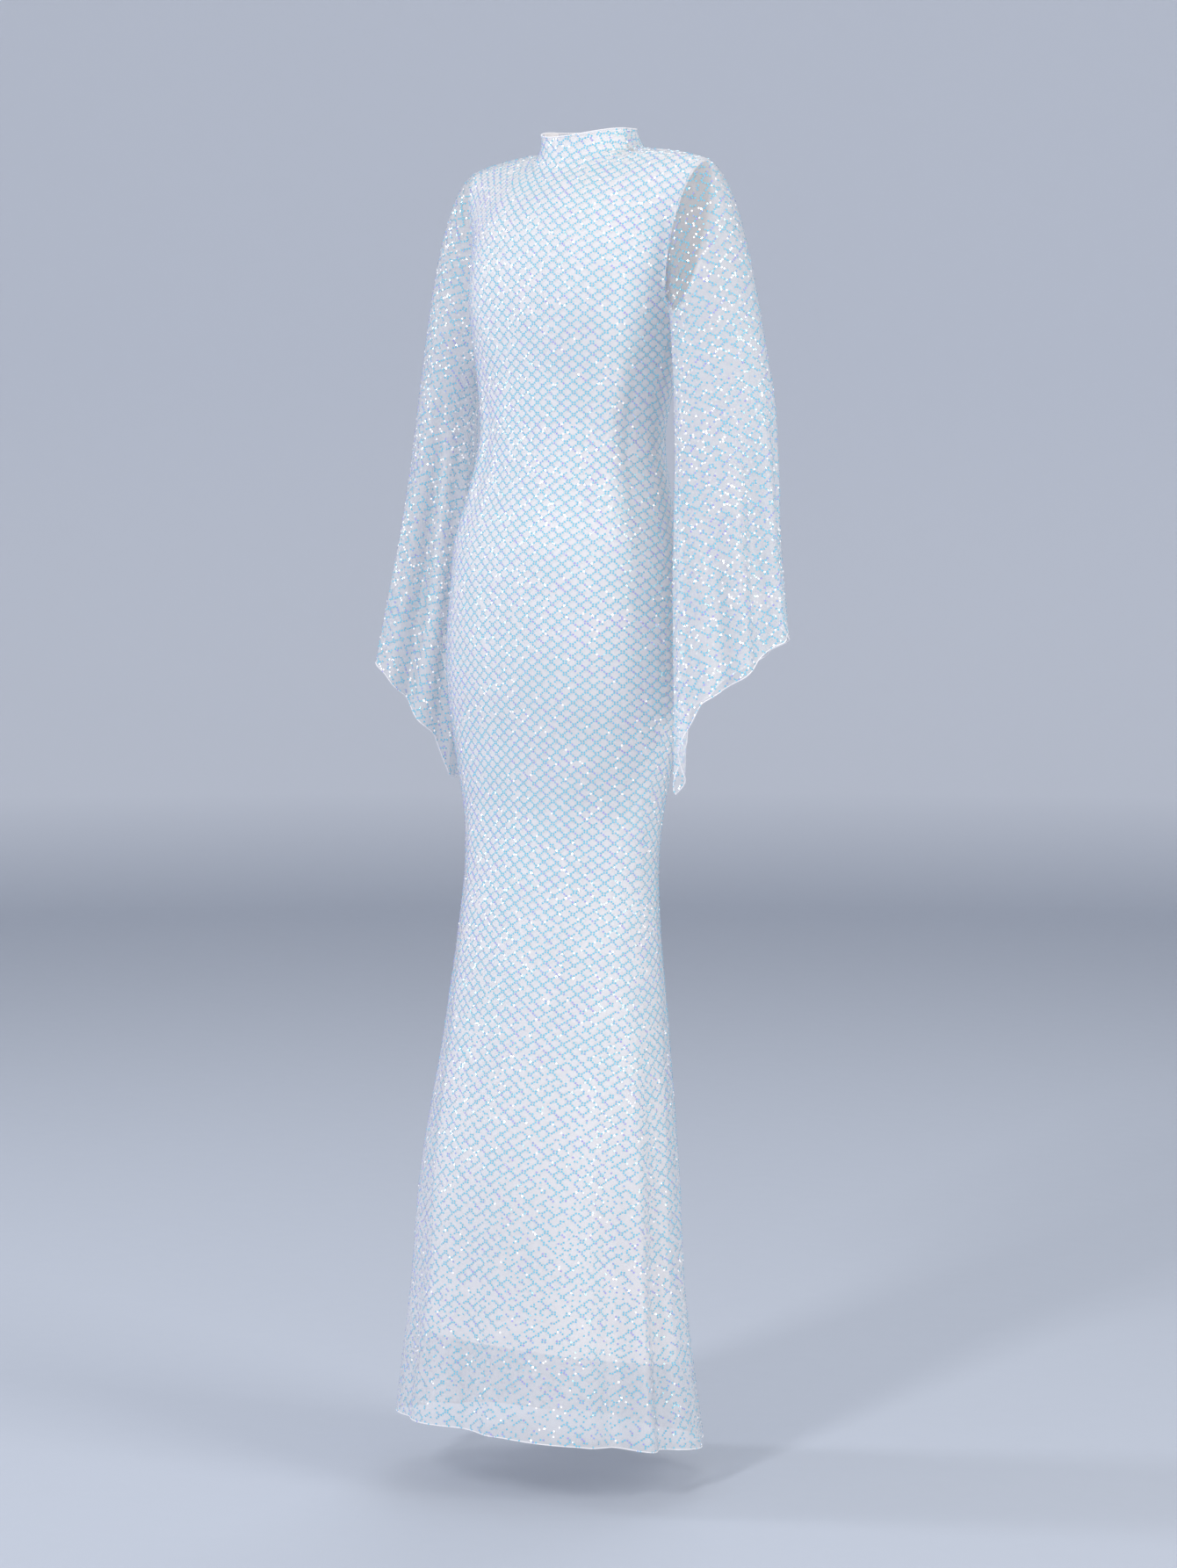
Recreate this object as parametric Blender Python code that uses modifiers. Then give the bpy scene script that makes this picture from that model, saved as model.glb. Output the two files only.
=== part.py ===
"""Floor-length evening dress of sequinned net over a plain lining, as it stands when worn.

Frame: metres, +Z up, the dress faces -Y and its own left side is +X. The origin lies between the
shoulders at the height of the neck, where the wearer carries the dress. The figure inside it is left
out, so the body, both sleeves and the neck are hollow. Every cloth piece is one open sheet with an
inward Solidify, and neighbouring pieces stop half a seam gap short of their seam.
"""

import math

import bmesh
import bpy
import numpy as np
from mathutils import Matrix, Vector

# Cloth
NET_WALL = 0.0012  # sequinned net
LINING_WALL = 0.0010
SEAM_GAP = 0.0003  # between two sewn pieces
SHOULDER_GAP = 0.0010  # the same on the face of a seam that bends over the shoulder
ARMHOLE_GAP = 0.0008  # the same where the sleeve turns down from the shoulder
ZIP_GAP = 0.0008  # between the two halves of the back
LINING_SEAM_GAP = 0.0014
LINING_INSET = 0.0036  # from the face of the net to the face of the lining
LINING_SKIRT_INSET = 0.015  # and so much more at the lining's hem, inside the folds of the skirt

# Body of the dress from hem to underarm: height, half width, depth in front of the side seam, depth
# behind it, the side seam's place along Y, and how square the section is in front (2 is an ellipse).
LEVELS = (
    (-1.470, 0.184, 0.171, 0.177, -0.061, 2.0),
    (-1.380, 0.173, 0.161, 0.164, -0.061, 2.0),
    (-1.270, 0.162, 0.151, 0.150, -0.059, 2.0),
    (-1.150, 0.155, 0.145, 0.142, -0.056, 2.0),
    (-0.985, 0.137, 0.123, 0.120, -0.047, 2.0),
    (-0.860, 0.127, 0.103, 0.102, -0.043, 2.0),
    (-0.795, 0.126, 0.092, 0.095, -0.041, 2.0),
    (-0.739, 0.134, 0.084, 0.092, -0.040, 2.0),
    (-0.660, 0.152, 0.090, 0.095, -0.038, 2.0),
    (-0.586, 0.161, 0.102, 0.098, -0.036, 2.0),
    (-0.490, 0.157, 0.109, 0.091, -0.031, 2.0),
    (-0.425, 0.147, 0.107, 0.090, -0.026, 2.0),
    (-0.372, 0.130, 0.094, 0.089, -0.021, 2.0),
    (-0.306, 0.113, 0.088, 0.087, -0.016, 2.0),
    (-0.235, 0.124, 0.093, 0.088, -0.009, 2.2),
    (-0.165, 0.141, 0.110, 0.097, -0.002, 2.5),
    (-0.125, 0.141, 0.110, 0.097, -0.002, 2.5),
)
HEM_MIDDLE = -1.442  # height of the hem at the side seams
LOWEST_FIT = -0.80  # below this the skirt flares
HEM_RISE = 0.025  # higher by this at the centre front, lower by it at the centre back
UNDERARM = -0.165
# Heights of the rows of a body panel above its hem.
ROWS = (-1.36, -1.27, -1.17, -1.07, -0.98, -0.90, -0.83, -0.76, -0.70, -0.63, -0.56, -0.49, -0.43,
        -0.37, -0.31, -0.25, -0.205, UNDERARM)
LINING_SHORTER = 0.095  # the lining ends this far above the hem of the net

# Columns of a half panel, as angles from the centre front (0) round to the centre back (180).
FRONT_COLUMNS = (0, 8, 19, 29, 39, 48, 56, 68, 76, 83, 90)
BACK_COLUMNS = (180, 172, 163, 153, 143, 133, 123, 113, 104, 97, 90)
LINING_COLUMNS = (0, 2, 3, 4, 6, 8, 10)  # the ones that a half of the lining has too
NECK_STEPS = (0.0, 0.17, 0.42, 0.71, 1.0)  # where the first columns meet the neck, centre to side
SHOULDER_STEPS = (0.16, 0.33, 0.52, 0.70, 0.86, 1.0)  # where the others meet the shoulder seam

# Soft folds of the skirt: angle, half width in degrees, height of the fold at the hem, and the level
# where it begins.
FOLDS = (
    (8, 8, -0.009, -0.98), (-11, 9, 0.007, -0.98), (38, 16, 0.004, -0.98),
    (69, 7, -0.014, -0.86), (82, 6, 0.009, -0.86), (96, 6, -0.011, -0.94), (112, 9, 0.006, -0.94),
    (-45, 14, 0.004, -0.98), (-69, 7, -0.014, -0.86), (-82, 6, 0.009, -0.86), (-96, 6, -0.011, -0.94),
    (-112, 9, 0.006, -0.94), (133, 8, -0.011, -0.90), (153, 9, 0.008, -0.90), (180, 8, -0.010, -0.98),
    (-133, 8, -0.011, -0.90), (-153, 9, 0.008, -0.90),
)
# Waist darts of the front: their angle, half width in degrees, depth, and lowest and highest point.
DART = (56, 5, 0.0020, -0.46, -0.17)

# Neck: half width, depth in front and behind of its own middle, and that middle along Y.
NECK_BASE = (0.061, 0.060, 0.072, 0.008)
NECK_TOP = (0.056, 0.057, 0.048, 0.008)
NECK_BASE_HEIGHTS = (-0.004, 0.021, 0.022)  # front, side and back
NECK_TOP_HEIGHTS = (0.034, 0.044, 0.046)
COLLAR_ROWS = 3
SHOULDER_TIP = (0.184, 0.004, 0.005)
SHOULDER_LIFT = 0.14  # the cloth still climbs at this slope where it crosses the seam to the back
NECK_CLIMB = (0.59, 1.2)  # and at this slope where it reaches the middle of the neck, front and back
NECK_LEAN = 0.24  # halfway round the neck it also runs this much inwards
SHOULDER_ROUND = 2.0  # how the shoulder seam bows on its way from the neck to the tip

# Yoke, the part of a panel above the underarm.
YOKE_ROWS = 9
YOKE_CROWDING = 1.35  # above 1, its rows crowd towards the shoulder seam
# How far its columns run on straight, as shares of their length: at the underarm, at the middle of
# the neck, and at the shoulder seam in front and behind.
FOOT_FULLNESS, NECK_FULLNESS, SEAM_FULLNESS = 0.38, 0.28, (0.36, 0.44)
FRONT_ARMHOLE = ((0.000, -0.034, 0.018), (-0.006, -0.040, -0.006))  # pulls at underarm and tip
BACK_ARMHOLE = ((0.006, 0.040, 0.018), (-0.004, 0.046, -0.006))

# Sleeve sections down the arm: height, centre X and Y, and half sizes towards the outer back and
# towards the outer front.
SLEEVE = (
    (-0.165, 0.204, -0.003, 0.047, 0.038),
    (-0.250, 0.221, -0.006, 0.055, 0.035),
    (-0.335, 0.229, -0.008, 0.057, 0.039),
    (-0.420, 0.236, -0.013, 0.059, 0.044),
    (-0.490, 0.243, -0.016, 0.062, 0.048),
    (-0.600, 0.258, -0.022, 0.067, 0.054),
    (-0.720, 0.266, -0.026, 0.070, 0.058),
)
CAP_END = -0.25  # the cap of the sleeve has turned into a hanging tube here
CAP_ROWS, HANGING_ROWS = 5, 6
# Hem of each sleeve, by turn round it: it slants, and a point hangs down beside the body.
CUFF_LEFT = ((0, -0.533), (40, -0.568), (60, -0.580), (80, -0.596), (100, -0.632), (120, -0.675),
             (140, -0.700), (160, -0.655), (180, -0.605), (220, -0.570), (320, -0.512))
CUFF_RIGHT = ((0, -0.520), (40, -0.548), (80, -0.572), (100, -0.590), (120, -0.612), (140, -0.636),
              (160, -0.652), (180, -0.700), (200, -0.705), (220, -0.665), (260, -0.600), (320, -0.530))
SLEEVE_FOLDS = ((4, 40, 0.055), (3, 100, 0.03))  # folds round the sleeve, their turn, and their share

# Concealed zip in the centre back seam, its slider and its pull tab
ZIP_FOOT = -0.57
TAPE_HALF_WIDTH = 0.010
TAPE_WALL = 0.0010
TAPE_INSET = 0.0018  # from the face of the net
SLIDER = (0.0066, 0.0020, 0.0090)  # width, thickness, height
SLIDER_TOP_DROP = 0.0025  # below the top edge of the collar
SLIDER_STAND = 0.0006  # clear of the cloth
EAR = (0.0010, 0.0034, 0.0030)
EAR_SINK = 0.0004  # the ears are set this far into the slider
PIN_RADIUS = 0.0006
PIN_REACH = 0.0020  # from the slider's face to the middle of the pin
KNUCKLE_RADIUS, KNUCKLE_BORE, KNUCKLE_WIDTH = 0.0015, 0.0009, 0.0036
TAB = (0.0036, 0.0009, 0.0120)

COLOURS = {  # base colour, roughness, metallic
    "net": ((0.78, 0.85, 0.90, 1.0), 0.45, 0.0),
    "sleeve net": ((0.70, 0.74, 0.82, 1.0), 0.5, 0.0),
    "lining": ((0.88, 0.89, 0.91, 1.0), 0.7, 0.0),
    "tape": ((0.85, 0.85, 0.87, 1.0), 0.8, 0.0),
    "metal": ((0.72, 0.73, 0.75, 1.0), 0.3, 1.0),
}


def along(table, z):
    """The columns of a table of levels at height z, on a smooth curve through its rows."""
    rows = np.array(sorted(table))
    heights, values = rows[:, 0], rows[:, 1:]
    slopes = np.gradient(values, heights, axis=0)
    i = int(np.clip(np.searchsorted(heights, z) - 1, 0, len(heights) - 2))
    step = heights[i + 1] - heights[i]
    t = np.clip((z - heights[i]) / step, 0.0, 1.0)
    return (
        (1 + 2 * t) * (1 - t) ** 2 * values[i]
        + t * (1 - t) ** 2 * step * slopes[i]
        + t * t * (3 - 2 * t) * values[i + 1]
        + t * t * (t - 1) * step * slopes[i + 1]
    )


def bezier(points, t):
    a, b, c, d = (np.asarray(p, float) for p in points)
    return (1 - t) ** 3 * a + 3 * t * (1 - t) ** 2 * b + 3 * t * t * (1 - t) * c + t**3 * d


def unit(vector):
    return vector / np.linalg.norm(vector)


def ease(t):
    t = min(max(t, 0.0), 1.0)
    return t * t * (3 - 2 * t)


def turn_between(a, b):
    """The difference of two angles in degrees, from -180 to 180."""
    return (a - b + 180) % 360 - 180


def hem_height(angle, shorter=0.0):
    return HEM_MIDDLE + HEM_RISE * math.cos(math.radians(angle)) + shorter


def fold_at(angle, z):
    """How far the skirt's folds stand out from its plain section."""
    total = 0.0
    for middle, width, height, start in FOLDS:
        grown = ease((start - z) / (start - HEM_MIDDLE))
        total += height * grown * math.exp(-((turn_between(angle, middle) / width) ** 2))
    return total


def dart_at(angle, z):
    middle, width, depth, foot, head = DART
    if not foot < z < head:
        return 0.0
    across = math.exp(-(((abs(angle) - middle) / width) ** 2))
    return -depth * across * math.sin(math.pi * (z - foot) / (head - foot))


def body_point(angle, z, inset=0.0, folded=True):
    """A point of the body of the dress: angle 0 is the centre front, 90 the left side seam."""
    half, front, back, middle, square = along(LEVELS, z)
    sine, cosine = math.sin(math.radians(angle)), math.cos(math.radians(angle))
    depth = front if cosine >= 0 else back
    power = 2 / square if cosine >= 0 else 2 / (0.5 * square + 1.0)
    x = (half - inset) * math.copysign(abs(sine) ** power, sine)
    y = middle - (depth - inset) * math.copysign(abs(cosine) ** power, cosine)
    stand = (fold_at(angle, z) if folded else 0.0) + dart_at(angle, z)
    return np.array((x + stand * sine, y - stand * cosine, z))


def neck_point(ring, heights, side, front, step):
    """A point of a ring round the neck, step 0 at the centre and 1 at the shoulder seam."""
    half, before, behind, middle = ring
    turn = math.radians(90 * step)
    depth = -before if front else behind
    end = heights[0] if front else heights[2]
    z = end + (heights[1] - end) * math.sin(turn) ** 2
    return np.array((side * half * math.sin(turn), middle + depth * math.cos(turn), z))


def shoulder_point(side, share):
    neck = neck_point(NECK_BASE, NECK_BASE_HEIGHTS, side, True, 1.0)
    tip = np.array(SHOULDER_TIP) * (side, 1, 1)
    point = neck + (tip - neck) * share
    point[2] = neck[2] + (tip[2] - neck[2]) * share**SHOULDER_ROUND
    return point


def yoke_point(angle, column, front, t):
    """A point above the underarm: t is 0 there, and 1 at the neck or the shoulder seam."""
    side = -1 if angle < 0 else 1
    facing = 1 if front else -1
    foot = body_point(angle, UNDERARM)
    rise = unit(foot - body_point(angle, UNDERARM - 0.02))
    over = np.array((0, 1, SHOULDER_LIFT)) * facing  # the way the cloth crosses the shoulder seam
    last_neck = len(NECK_STEPS) - 1
    fullness = SEAM_FULLNESS[0 if front else 1]
    if column <= last_neck:
        share = NECK_STEPS[column]
        head = neck_point(NECK_BASE, NECK_BASE_HEIGHTS, side, front, share)
        lean = -NECK_LEAN * side * math.sin(math.radians(180 * share))
        climb = NECK_CLIMB[0 if front else 1]
        arrive = unit(np.array((lean, facing, climb + (facing * SHOULDER_LIFT - climb) * share**2)))
        fullness = NECK_FULLNESS + (fullness - NECK_FULLNESS) * share**3
    else:
        head = shoulder_point(side, SHOULDER_STEPS[column - last_neck - 1])
        arrive = over
    reach = np.linalg.norm(head - foot)
    out = (column / (len(FRONT_COLUMNS) - 1)) ** 6  # 1 at the armhole
    pulls = FRONT_ARMHOLE if front else BACK_ARMHOLE
    mirror = np.array((side, 1, 1))
    first = rise * FOOT_FULLNESS * reach * (1 - out) + np.array(pulls[0]) * mirror * out
    second = -arrive * fullness * reach * (1 - out) + np.array(pulls[1]) * mirror * out
    return bezier((foot, foot + first, head + second, head), t)


def yoke_share(row):
    """How far up the yoke a row of its points lies, from 0 to 1."""
    return 1 - (1 - row / YOKE_ROWS) ** YOKE_CROWDING


def collar_point(column, side, front, t):
    """The collar grows out of the yoke: t is 0 at the base of the neck and 1 at its top edge."""
    base = neck_point(NECK_BASE, NECK_BASE_HEIGHTS, side, front, NECK_STEPS[column])
    top = neck_point(NECK_TOP, NECK_TOP_HEIGHTS, side, front, NECK_STEPS[column])
    return base + (top - base) * np.array((t**0.5, t**0.5, t))


def half_panel(side, front, shorter=0.0, lining=False, collar=True):
    """Columns of points from the hem up, the centre column first."""
    columns = []
    for column, angle in enumerate(FRONT_COLUMNS if front else BACK_COLUMNS):
        angle *= side
        hem = hem_height(angle, shorter)
        rows = (hem, *(row for row in ROWS if row > hem + 0.03))
        points = [body_point(angle, z, skirt_inset(z) if lining else 0.0, not lining) for z in rows]
        points += [yoke_point(angle, column, front, yoke_share(row)) for row in range(1, YOKE_ROWS + 1)]
        yoke_end = len(points) - 1
        if collar and column < len(NECK_STEPS):
            points += [collar_point(column, side, front, row / COLLAR_ROWS)
                       for row in range(1, COLLAR_ROWS + 1)]
        if column >= len(NECK_STEPS) - 1:  # these ends lie on the seam over the shoulder
            for point in points[yoke_end:]:
                point[1] += (-1 if front else 1) * SHOULDER_GAP / 2
        columns.append(points)
    return columns


def skirt_inset(z):
    """The lining flares less than the net."""
    return LINING_SKIRT_INSET * ease((LOWEST_FIT - z) / 0.5)


def run_of(points, row):
    """The way a run of points goes at one of them, halfway between its two neighbours' ways."""
    steps = [unit(points[i + 1] - points[i]) for i in (row - 1, row) if 0 <= i < len(points) - 1]
    return sum(steps)


def step_across(columns, column, row):
    """The way from one column to the next at a point of a panel."""
    near = [i for i in (column - 1, column, column + 1)
            if 0 <= i < len(columns) and row < len(columns[i])]
    return columns[near[-1]][row] - columns[near[0]][row]


def moved_in(columns, depth):
    """The points of a half panel, moved towards the wearer. The middle of the body is at X = 0."""
    moved = []
    for i, column in enumerate(columns):
        points = []
        for row, point in enumerate(column):
            inward = unit(np.cross(step_across(columns, i, row), run_of(column, row)))
            heart = np.array((0.0, 0.0, min(point[2], UNDERARM)))
            place = point + depth * (inward if inward @ (heart - point) > 0 else -inward)
            if i >= len(NECK_STEPS) - 1 and row >= len(columns[-1]) - 1:
                place[1] = point[1]  # on the shoulder seam
            if i == 0:
                place[0] = 0.0  # at the centre of the body
            points.append(place)
        moved.append(points)
    return moved


def sleeve_section(turn, z):
    """A point of a left sleeve's plain section: turn 0 is outermost, 90 the front, 180 by the body."""
    x, y, back_half, front_half = along(SLEEVE, z)
    grown = ease((CAP_END + 0.05 - z) / 0.3)
    ripple = 1 + sum(share * grown * math.cos(math.radians(count * turn + start))
                     for count, start, share in SLEEVE_FOLDS)
    slant = math.radians(turn + 45)
    reach = back_half * math.cos(slant) * ripple, front_half * math.sin(slant) * ripple
    root = math.sqrt(0.5)
    return np.array((x + root * (reach[0] + reach[1]), y + root * (reach[0] - reach[1]), z))


def armhole_point(step):
    """A point of the left armhole: step 0 is the tip of the shoulder, YOKE_ROWS the underarm."""
    return yoke_point(90, len(FRONT_COLUMNS) - 1, step <= YOKE_ROWS, yoke_share(abs(YOKE_ROWS - step)))


def sleeve_columns(cuff):
    """Columns of a left sleeve from the armhole down to its hem, all the way round."""
    columns = []
    for step in range(2 * YOKE_ROWS):
        turn = 180 * step / YOKE_ROWS
        start, end = armhole_point(step), sleeve_section(turn, CAP_END)
        outer = (1 + math.cos(math.radians(turn))) / 2
        leave = unit(np.array((0.35 + 0.46 * outer, -0.55 * math.sin(math.radians(turn)),
                               -0.95 + 0.55 * outer)))
        rise = unit(sleeve_section(turn, CAP_END + 0.02) - end)
        reach = np.linalg.norm(end - start)
        pull = start + leave * 0.15 * reach, end + rise * 0.44 * reach
        column = [bezier((start, *pull, end), row / CAP_ROWS) for row in range(CAP_ROWS + 1)]
        drop = np.interp(turn, *np.transpose(cuff), period=360) - CAP_END
        column += [sleeve_section(turn, CAP_END + drop * row / HANGING_ROWS)
                   for row in range(1, HANGING_ROWS + 1)]
        columns.append(column)
    return columns


def trim_seams(columns, first_gap, last_gap):
    """Draws a panel's two side columns back from their seams by half a gap."""
    edges = (columns[0], columns[1], first_gap), (columns[-1], columns[-2], last_gap)
    for edge, inner, gap in edges:
        for row, point in enumerate(edge):
            beside = inner[min(row, len(inner) - 1)]
            edge[row] = point + unit(beside - point) * gap / 2
    return columns


def sheet(name, columns, wall, finish, closed=False, flip=False):
    """Skins neighbouring columns of points, of unlike lengths where a collar ends, and thickens them."""
    mesh = bmesh.new()
    verts = [[mesh.verts.new(point) for point in column] for column in columns]
    pairs = list(zip(verts, verts[1:])) + ([(verts[-1], verts[0])] if closed else [])
    for left, right in pairs:
        for row in range(min(len(left), len(right)) - 1):
            corners = (left[row], right[row], right[row + 1], left[row + 1])
            mesh.faces.new(corners[::-1] if flip else corners)
    data = bpy.data.meshes.new(name)
    mesh.to_mesh(data)
    mesh.free()
    data.shade_smooth()
    piece = bpy.data.objects.new(name, data)
    wall_maker = piece.modifiers.new("Wall", "SOLIDIFY")
    wall_maker.thickness, wall_maker.offset = wall, -1.0
    wall_maker.use_even_offset = True
    return add(piece, finish)


def add(piece, finish):
    """Puts a finished object in the dress's collection, with its own material."""
    dress.objects.link(piece)
    colour, roughness, metallic = COLOURS[finish]
    material = bpy.data.materials.new(piece.name)
    material.use_nodes = True
    shader = material.node_tree.nodes["Principled BSDF"]
    shader.inputs["Base Color"].default_value = colour
    shader.inputs["Roughness"].default_value = roughness
    shader.inputs["Metallic"].default_value = metallic
    piece.data.materials.append(material)
    return piece


def make_front():
    """The front, from side seam to side seam, cut in one with the front of the collar."""
    right, left = half_panel(-1, True), half_panel(1, True)
    sheet("front", trim_seams(right[::-1] + left[1:], SEAM_GAP, SEAM_GAP), NET_WALL, "net")


def make_back(name, side):
    """One half of the back, from the zip to the side seam, cut in one with half the collar."""
    columns = trim_seams(half_panel(side, False), ZIP_GAP, SEAM_GAP)
    sheet(name, columns, NET_WALL, "net", flip=side > 0)


def lining_half(side, front):
    """Fewer columns than its half panel has, moved in. The back of the collar has no lining."""
    columns = half_panel(side, front, shorter=LINING_SHORTER, lining=True, collar=front)
    columns = moved_in(columns, LINING_INSET)
    return [columns[i] for i in LINING_COLUMNS]


def make_lining_front():
    columns = lining_half(-1, True)[::-1] + lining_half(1, True)[1:]
    sheet("lining_front", trim_seams(columns, LINING_SEAM_GAP, LINING_SEAM_GAP), LINING_WALL, "lining")


def make_lining_back(name, side):
    columns = trim_seams(lining_half(side, False), LINING_SEAM_GAP, LINING_SEAM_GAP)
    sheet(name, columns, LINING_WALL, "lining", flip=side > 0)


def make_sleeve(name, side, cuff):
    """A bell sleeve closed round the arm, its first ring a gap off the armhole seam."""
    columns = []
    for column in sleeve_columns(cuff):
        column[0] = column[0] + unit(column[1] - column[0]) * ARMHOLE_GAP
        columns.append([point * (side, 1, 1) for point in column])
    return sheet(name, columns, NET_WALL, "sleeve net", closed=True, flip=side < 0)


def make_tape():
    """The zip's tape behind the centre back seam, laid on the inside of both back panels."""
    left = half_panel(1, False)
    columns = [[], [], []]
    for row, middle in enumerate(left[0]):
        if middle[2] < ZIP_FOOT:
            continue
        across = unit(left[1][row] - middle)
        inward = unit(np.cross(across, run_of(left[0], row)))
        inward = inward if inward[1] < 0 else -inward
        edge = middle + across * TAPE_HALF_WIDTH + inward * TAPE_INSET
        spine = middle + inward * (0, 1, 1) * TAPE_INSET / np.linalg.norm(inward[1:])
        columns[0].append(edge * (-1, 1, 1))
        columns[1].append(spine)
        columns[2].append(edge)
    return sheet("zip_tape", columns, TAPE_WALL, "tape", flip=True)


def solid(name, mesh, centre):
    """An object from a small shape, set at a place of the slider's frame on the back of the collar."""
    edge, foot = collar_point(0, 1, False, 1.0), collar_point(0, 1, False, 1 - 1 / COLLAR_ROWS)
    lean = math.atan2(foot[1] - edge[1], edge[2] - foot[2])
    data = bpy.data.meshes.new(name)
    mesh.to_mesh(data)
    mesh.free()
    piece = bpy.data.objects.new(name, data)
    piece.matrix_world = Matrix.Translation(edge) @ Matrix.Rotation(lean, 4, "X") @ Matrix.Translation(centre)
    return piece


def box(name, size, centre):
    mesh = bmesh.new()
    bmesh.ops.create_cube(mesh, size=1.0, matrix=Matrix.Diagonal((*size, 1)))
    return solid(name, mesh, centre)


def rod(name, radius, length, centre):
    """A cylinder lying along X."""
    mesh = bmesh.new()
    bmesh.ops.create_cone(mesh, cap_ends=True, segments=20, radius1=radius, radius2=radius, depth=length,
                          matrix=Matrix.Rotation(math.pi / 2, 4, "Y"))
    return solid(name, mesh, centre)


def combine(piece, other, operation):
    """A Boolean of two objects, the second one kept as a hidden cutter."""
    cutters.objects.link(other)
    other.hide_render, other.display_type = True, "WIRE"
    step = piece.modifiers.new(operation.title(), "BOOLEAN")
    step.operation, step.object = operation, other


def make_slider_and_pull():
    """The slider at the top of the zip, and the tab that swings on its pin. Places are in a frame at
    the collar's top edge: Y out from the collar's back and Z up along it."""
    face = SLIDER_STAND + SLIDER[1]
    slider = box("zip_slider", SLIDER, (0, face - SLIDER[1] / 2, -SLIDER_TOP_DROP - SLIDER[2] / 2))
    pin = Vector((0, face + PIN_REACH, -SLIDER_TOP_DROP - EAR[2] / 2))
    gap = KNUCKLE_WIDTH / 2 + SEAM_GAP
    for side in (-1, 1):
        centre = (side * (gap + EAR[0] / 2), face + (EAR[1] - EAR_SINK) / 2, pin.z)
        combine(slider, box("cut_ear", (EAR[0], EAR[1] + EAR_SINK, EAR[2]), centre), "UNION")
    combine(slider, rod("cut_pin", PIN_RADIUS, 2 * gap + EAR[0], pin), "UNION")
    add(slider, "metal")

    pull = rod("zip_pull", KNUCKLE_RADIUS, KNUCKLE_WIDTH, pin)
    combine(pull, box("cut_tab", TAB, pin - Vector((0, 0, TAB[2] / 2 + PIN_RADIUS))), "UNION")
    combine(pull, rod("cut_bore", KNUCKLE_BORE, 2 * KNUCKLE_WIDTH, pin), "DIFFERENCE")
    add(pull, "metal")


for old in list(bpy.data.objects):
    bpy.data.objects.remove(old, do_unlink=True)
dress = bpy.data.collections.new("sequinned evening dress")
cutters = bpy.data.collections.new("cutters")
for collection in (dress, cutters):
    bpy.context.scene.collection.children.link(collection)

make_front()
make_back("back_left", 1)
make_back("back_right", -1)
make_sleeve("sleeve_left", 1, CUFF_LEFT)
make_sleeve("sleeve_right", -1, CUFF_RIGHT)
make_lining_front()
make_lining_back("lining_back_left", 1)
make_lining_back("lining_back_right", -1)
make_tape()
make_slider_and_pull()
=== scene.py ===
"""The finish of a floor-length evening dress of sequinned net over a plain lining.

It is laid out as an add-on and runs as a script. Frame: metres, +Z up, the dress faces -Y and its
own left side is +X. Each cloth panel is made again as a fine sheet on the form of its solid, with
the cut in its own UV map in metres, and the sequins are set out on that cut.
"""

import math

import bpy
import numpy as np
from bpy.props import FloatProperty, FloatVectorProperty, IntProperty, PointerProperty
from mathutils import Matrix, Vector


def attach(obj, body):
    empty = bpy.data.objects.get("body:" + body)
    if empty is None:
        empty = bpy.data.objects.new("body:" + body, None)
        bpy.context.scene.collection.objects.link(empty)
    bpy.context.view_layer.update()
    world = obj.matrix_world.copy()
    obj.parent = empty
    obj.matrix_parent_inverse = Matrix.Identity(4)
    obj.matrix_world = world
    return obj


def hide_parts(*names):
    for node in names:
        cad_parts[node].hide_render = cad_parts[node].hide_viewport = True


bl_info = {
    "name": "Sequinned Evening Dress",
    "version": (1, 0, 0),
    "blender": (4, 5, 0),
    "location": "3D View > Sidebar > Dress",
    "description": "Net, lining, sequins, edges and zip of a floor-length evening dress",
    "category": "Add Mesh",
}

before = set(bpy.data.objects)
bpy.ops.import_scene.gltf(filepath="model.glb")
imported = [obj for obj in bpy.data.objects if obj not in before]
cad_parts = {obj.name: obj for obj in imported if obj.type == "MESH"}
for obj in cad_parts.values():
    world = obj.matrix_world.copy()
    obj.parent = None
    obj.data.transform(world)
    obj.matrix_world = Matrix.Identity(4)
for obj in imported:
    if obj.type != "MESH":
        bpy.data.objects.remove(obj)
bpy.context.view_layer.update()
DRESS, PULL = "dress", "pull"  # the bodies that pieces ride on

# Body of the dress from hem to underarm: height, half width, depth in front of the side seam, depth
# behind it, the side seam's place along Y, and how square the section is in front.
LEVELS = (
    (-1.470, 0.184, 0.171, 0.177, -0.061, 2.0),
    (-1.380, 0.173, 0.161, 0.164, -0.061, 2.0),
    (-1.270, 0.162, 0.151, 0.150, -0.059, 2.0),
    (-1.150, 0.155, 0.145, 0.142, -0.056, 2.0),
    (-0.985, 0.137, 0.123, 0.120, -0.047, 2.0),
    (-0.860, 0.127, 0.103, 0.102, -0.043, 2.0),
    (-0.795, 0.126, 0.092, 0.095, -0.041, 2.0),
    (-0.739, 0.134, 0.084, 0.092, -0.040, 2.0),
    (-0.660, 0.152, 0.090, 0.095, -0.038, 2.0),
    (-0.586, 0.161, 0.102, 0.098, -0.036, 2.0),
    (-0.490, 0.157, 0.109, 0.091, -0.031, 2.0),
    (-0.425, 0.147, 0.107, 0.090, -0.026, 2.0),
    (-0.372, 0.130, 0.094, 0.089, -0.021, 2.0),
    (-0.306, 0.113, 0.088, 0.087, -0.016, 2.0),
    (-0.235, 0.124, 0.093, 0.088, -0.009, 2.2),
    (-0.165, 0.141, 0.110, 0.097, -0.002, 2.5),
    (-0.125, 0.141, 0.110, 0.097, -0.002, 2.5),
)
HEM_MIDDLE, HEM_RISE = -1.442, 0.025  # height of the hem at the side seams, and its rise to the front
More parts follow.
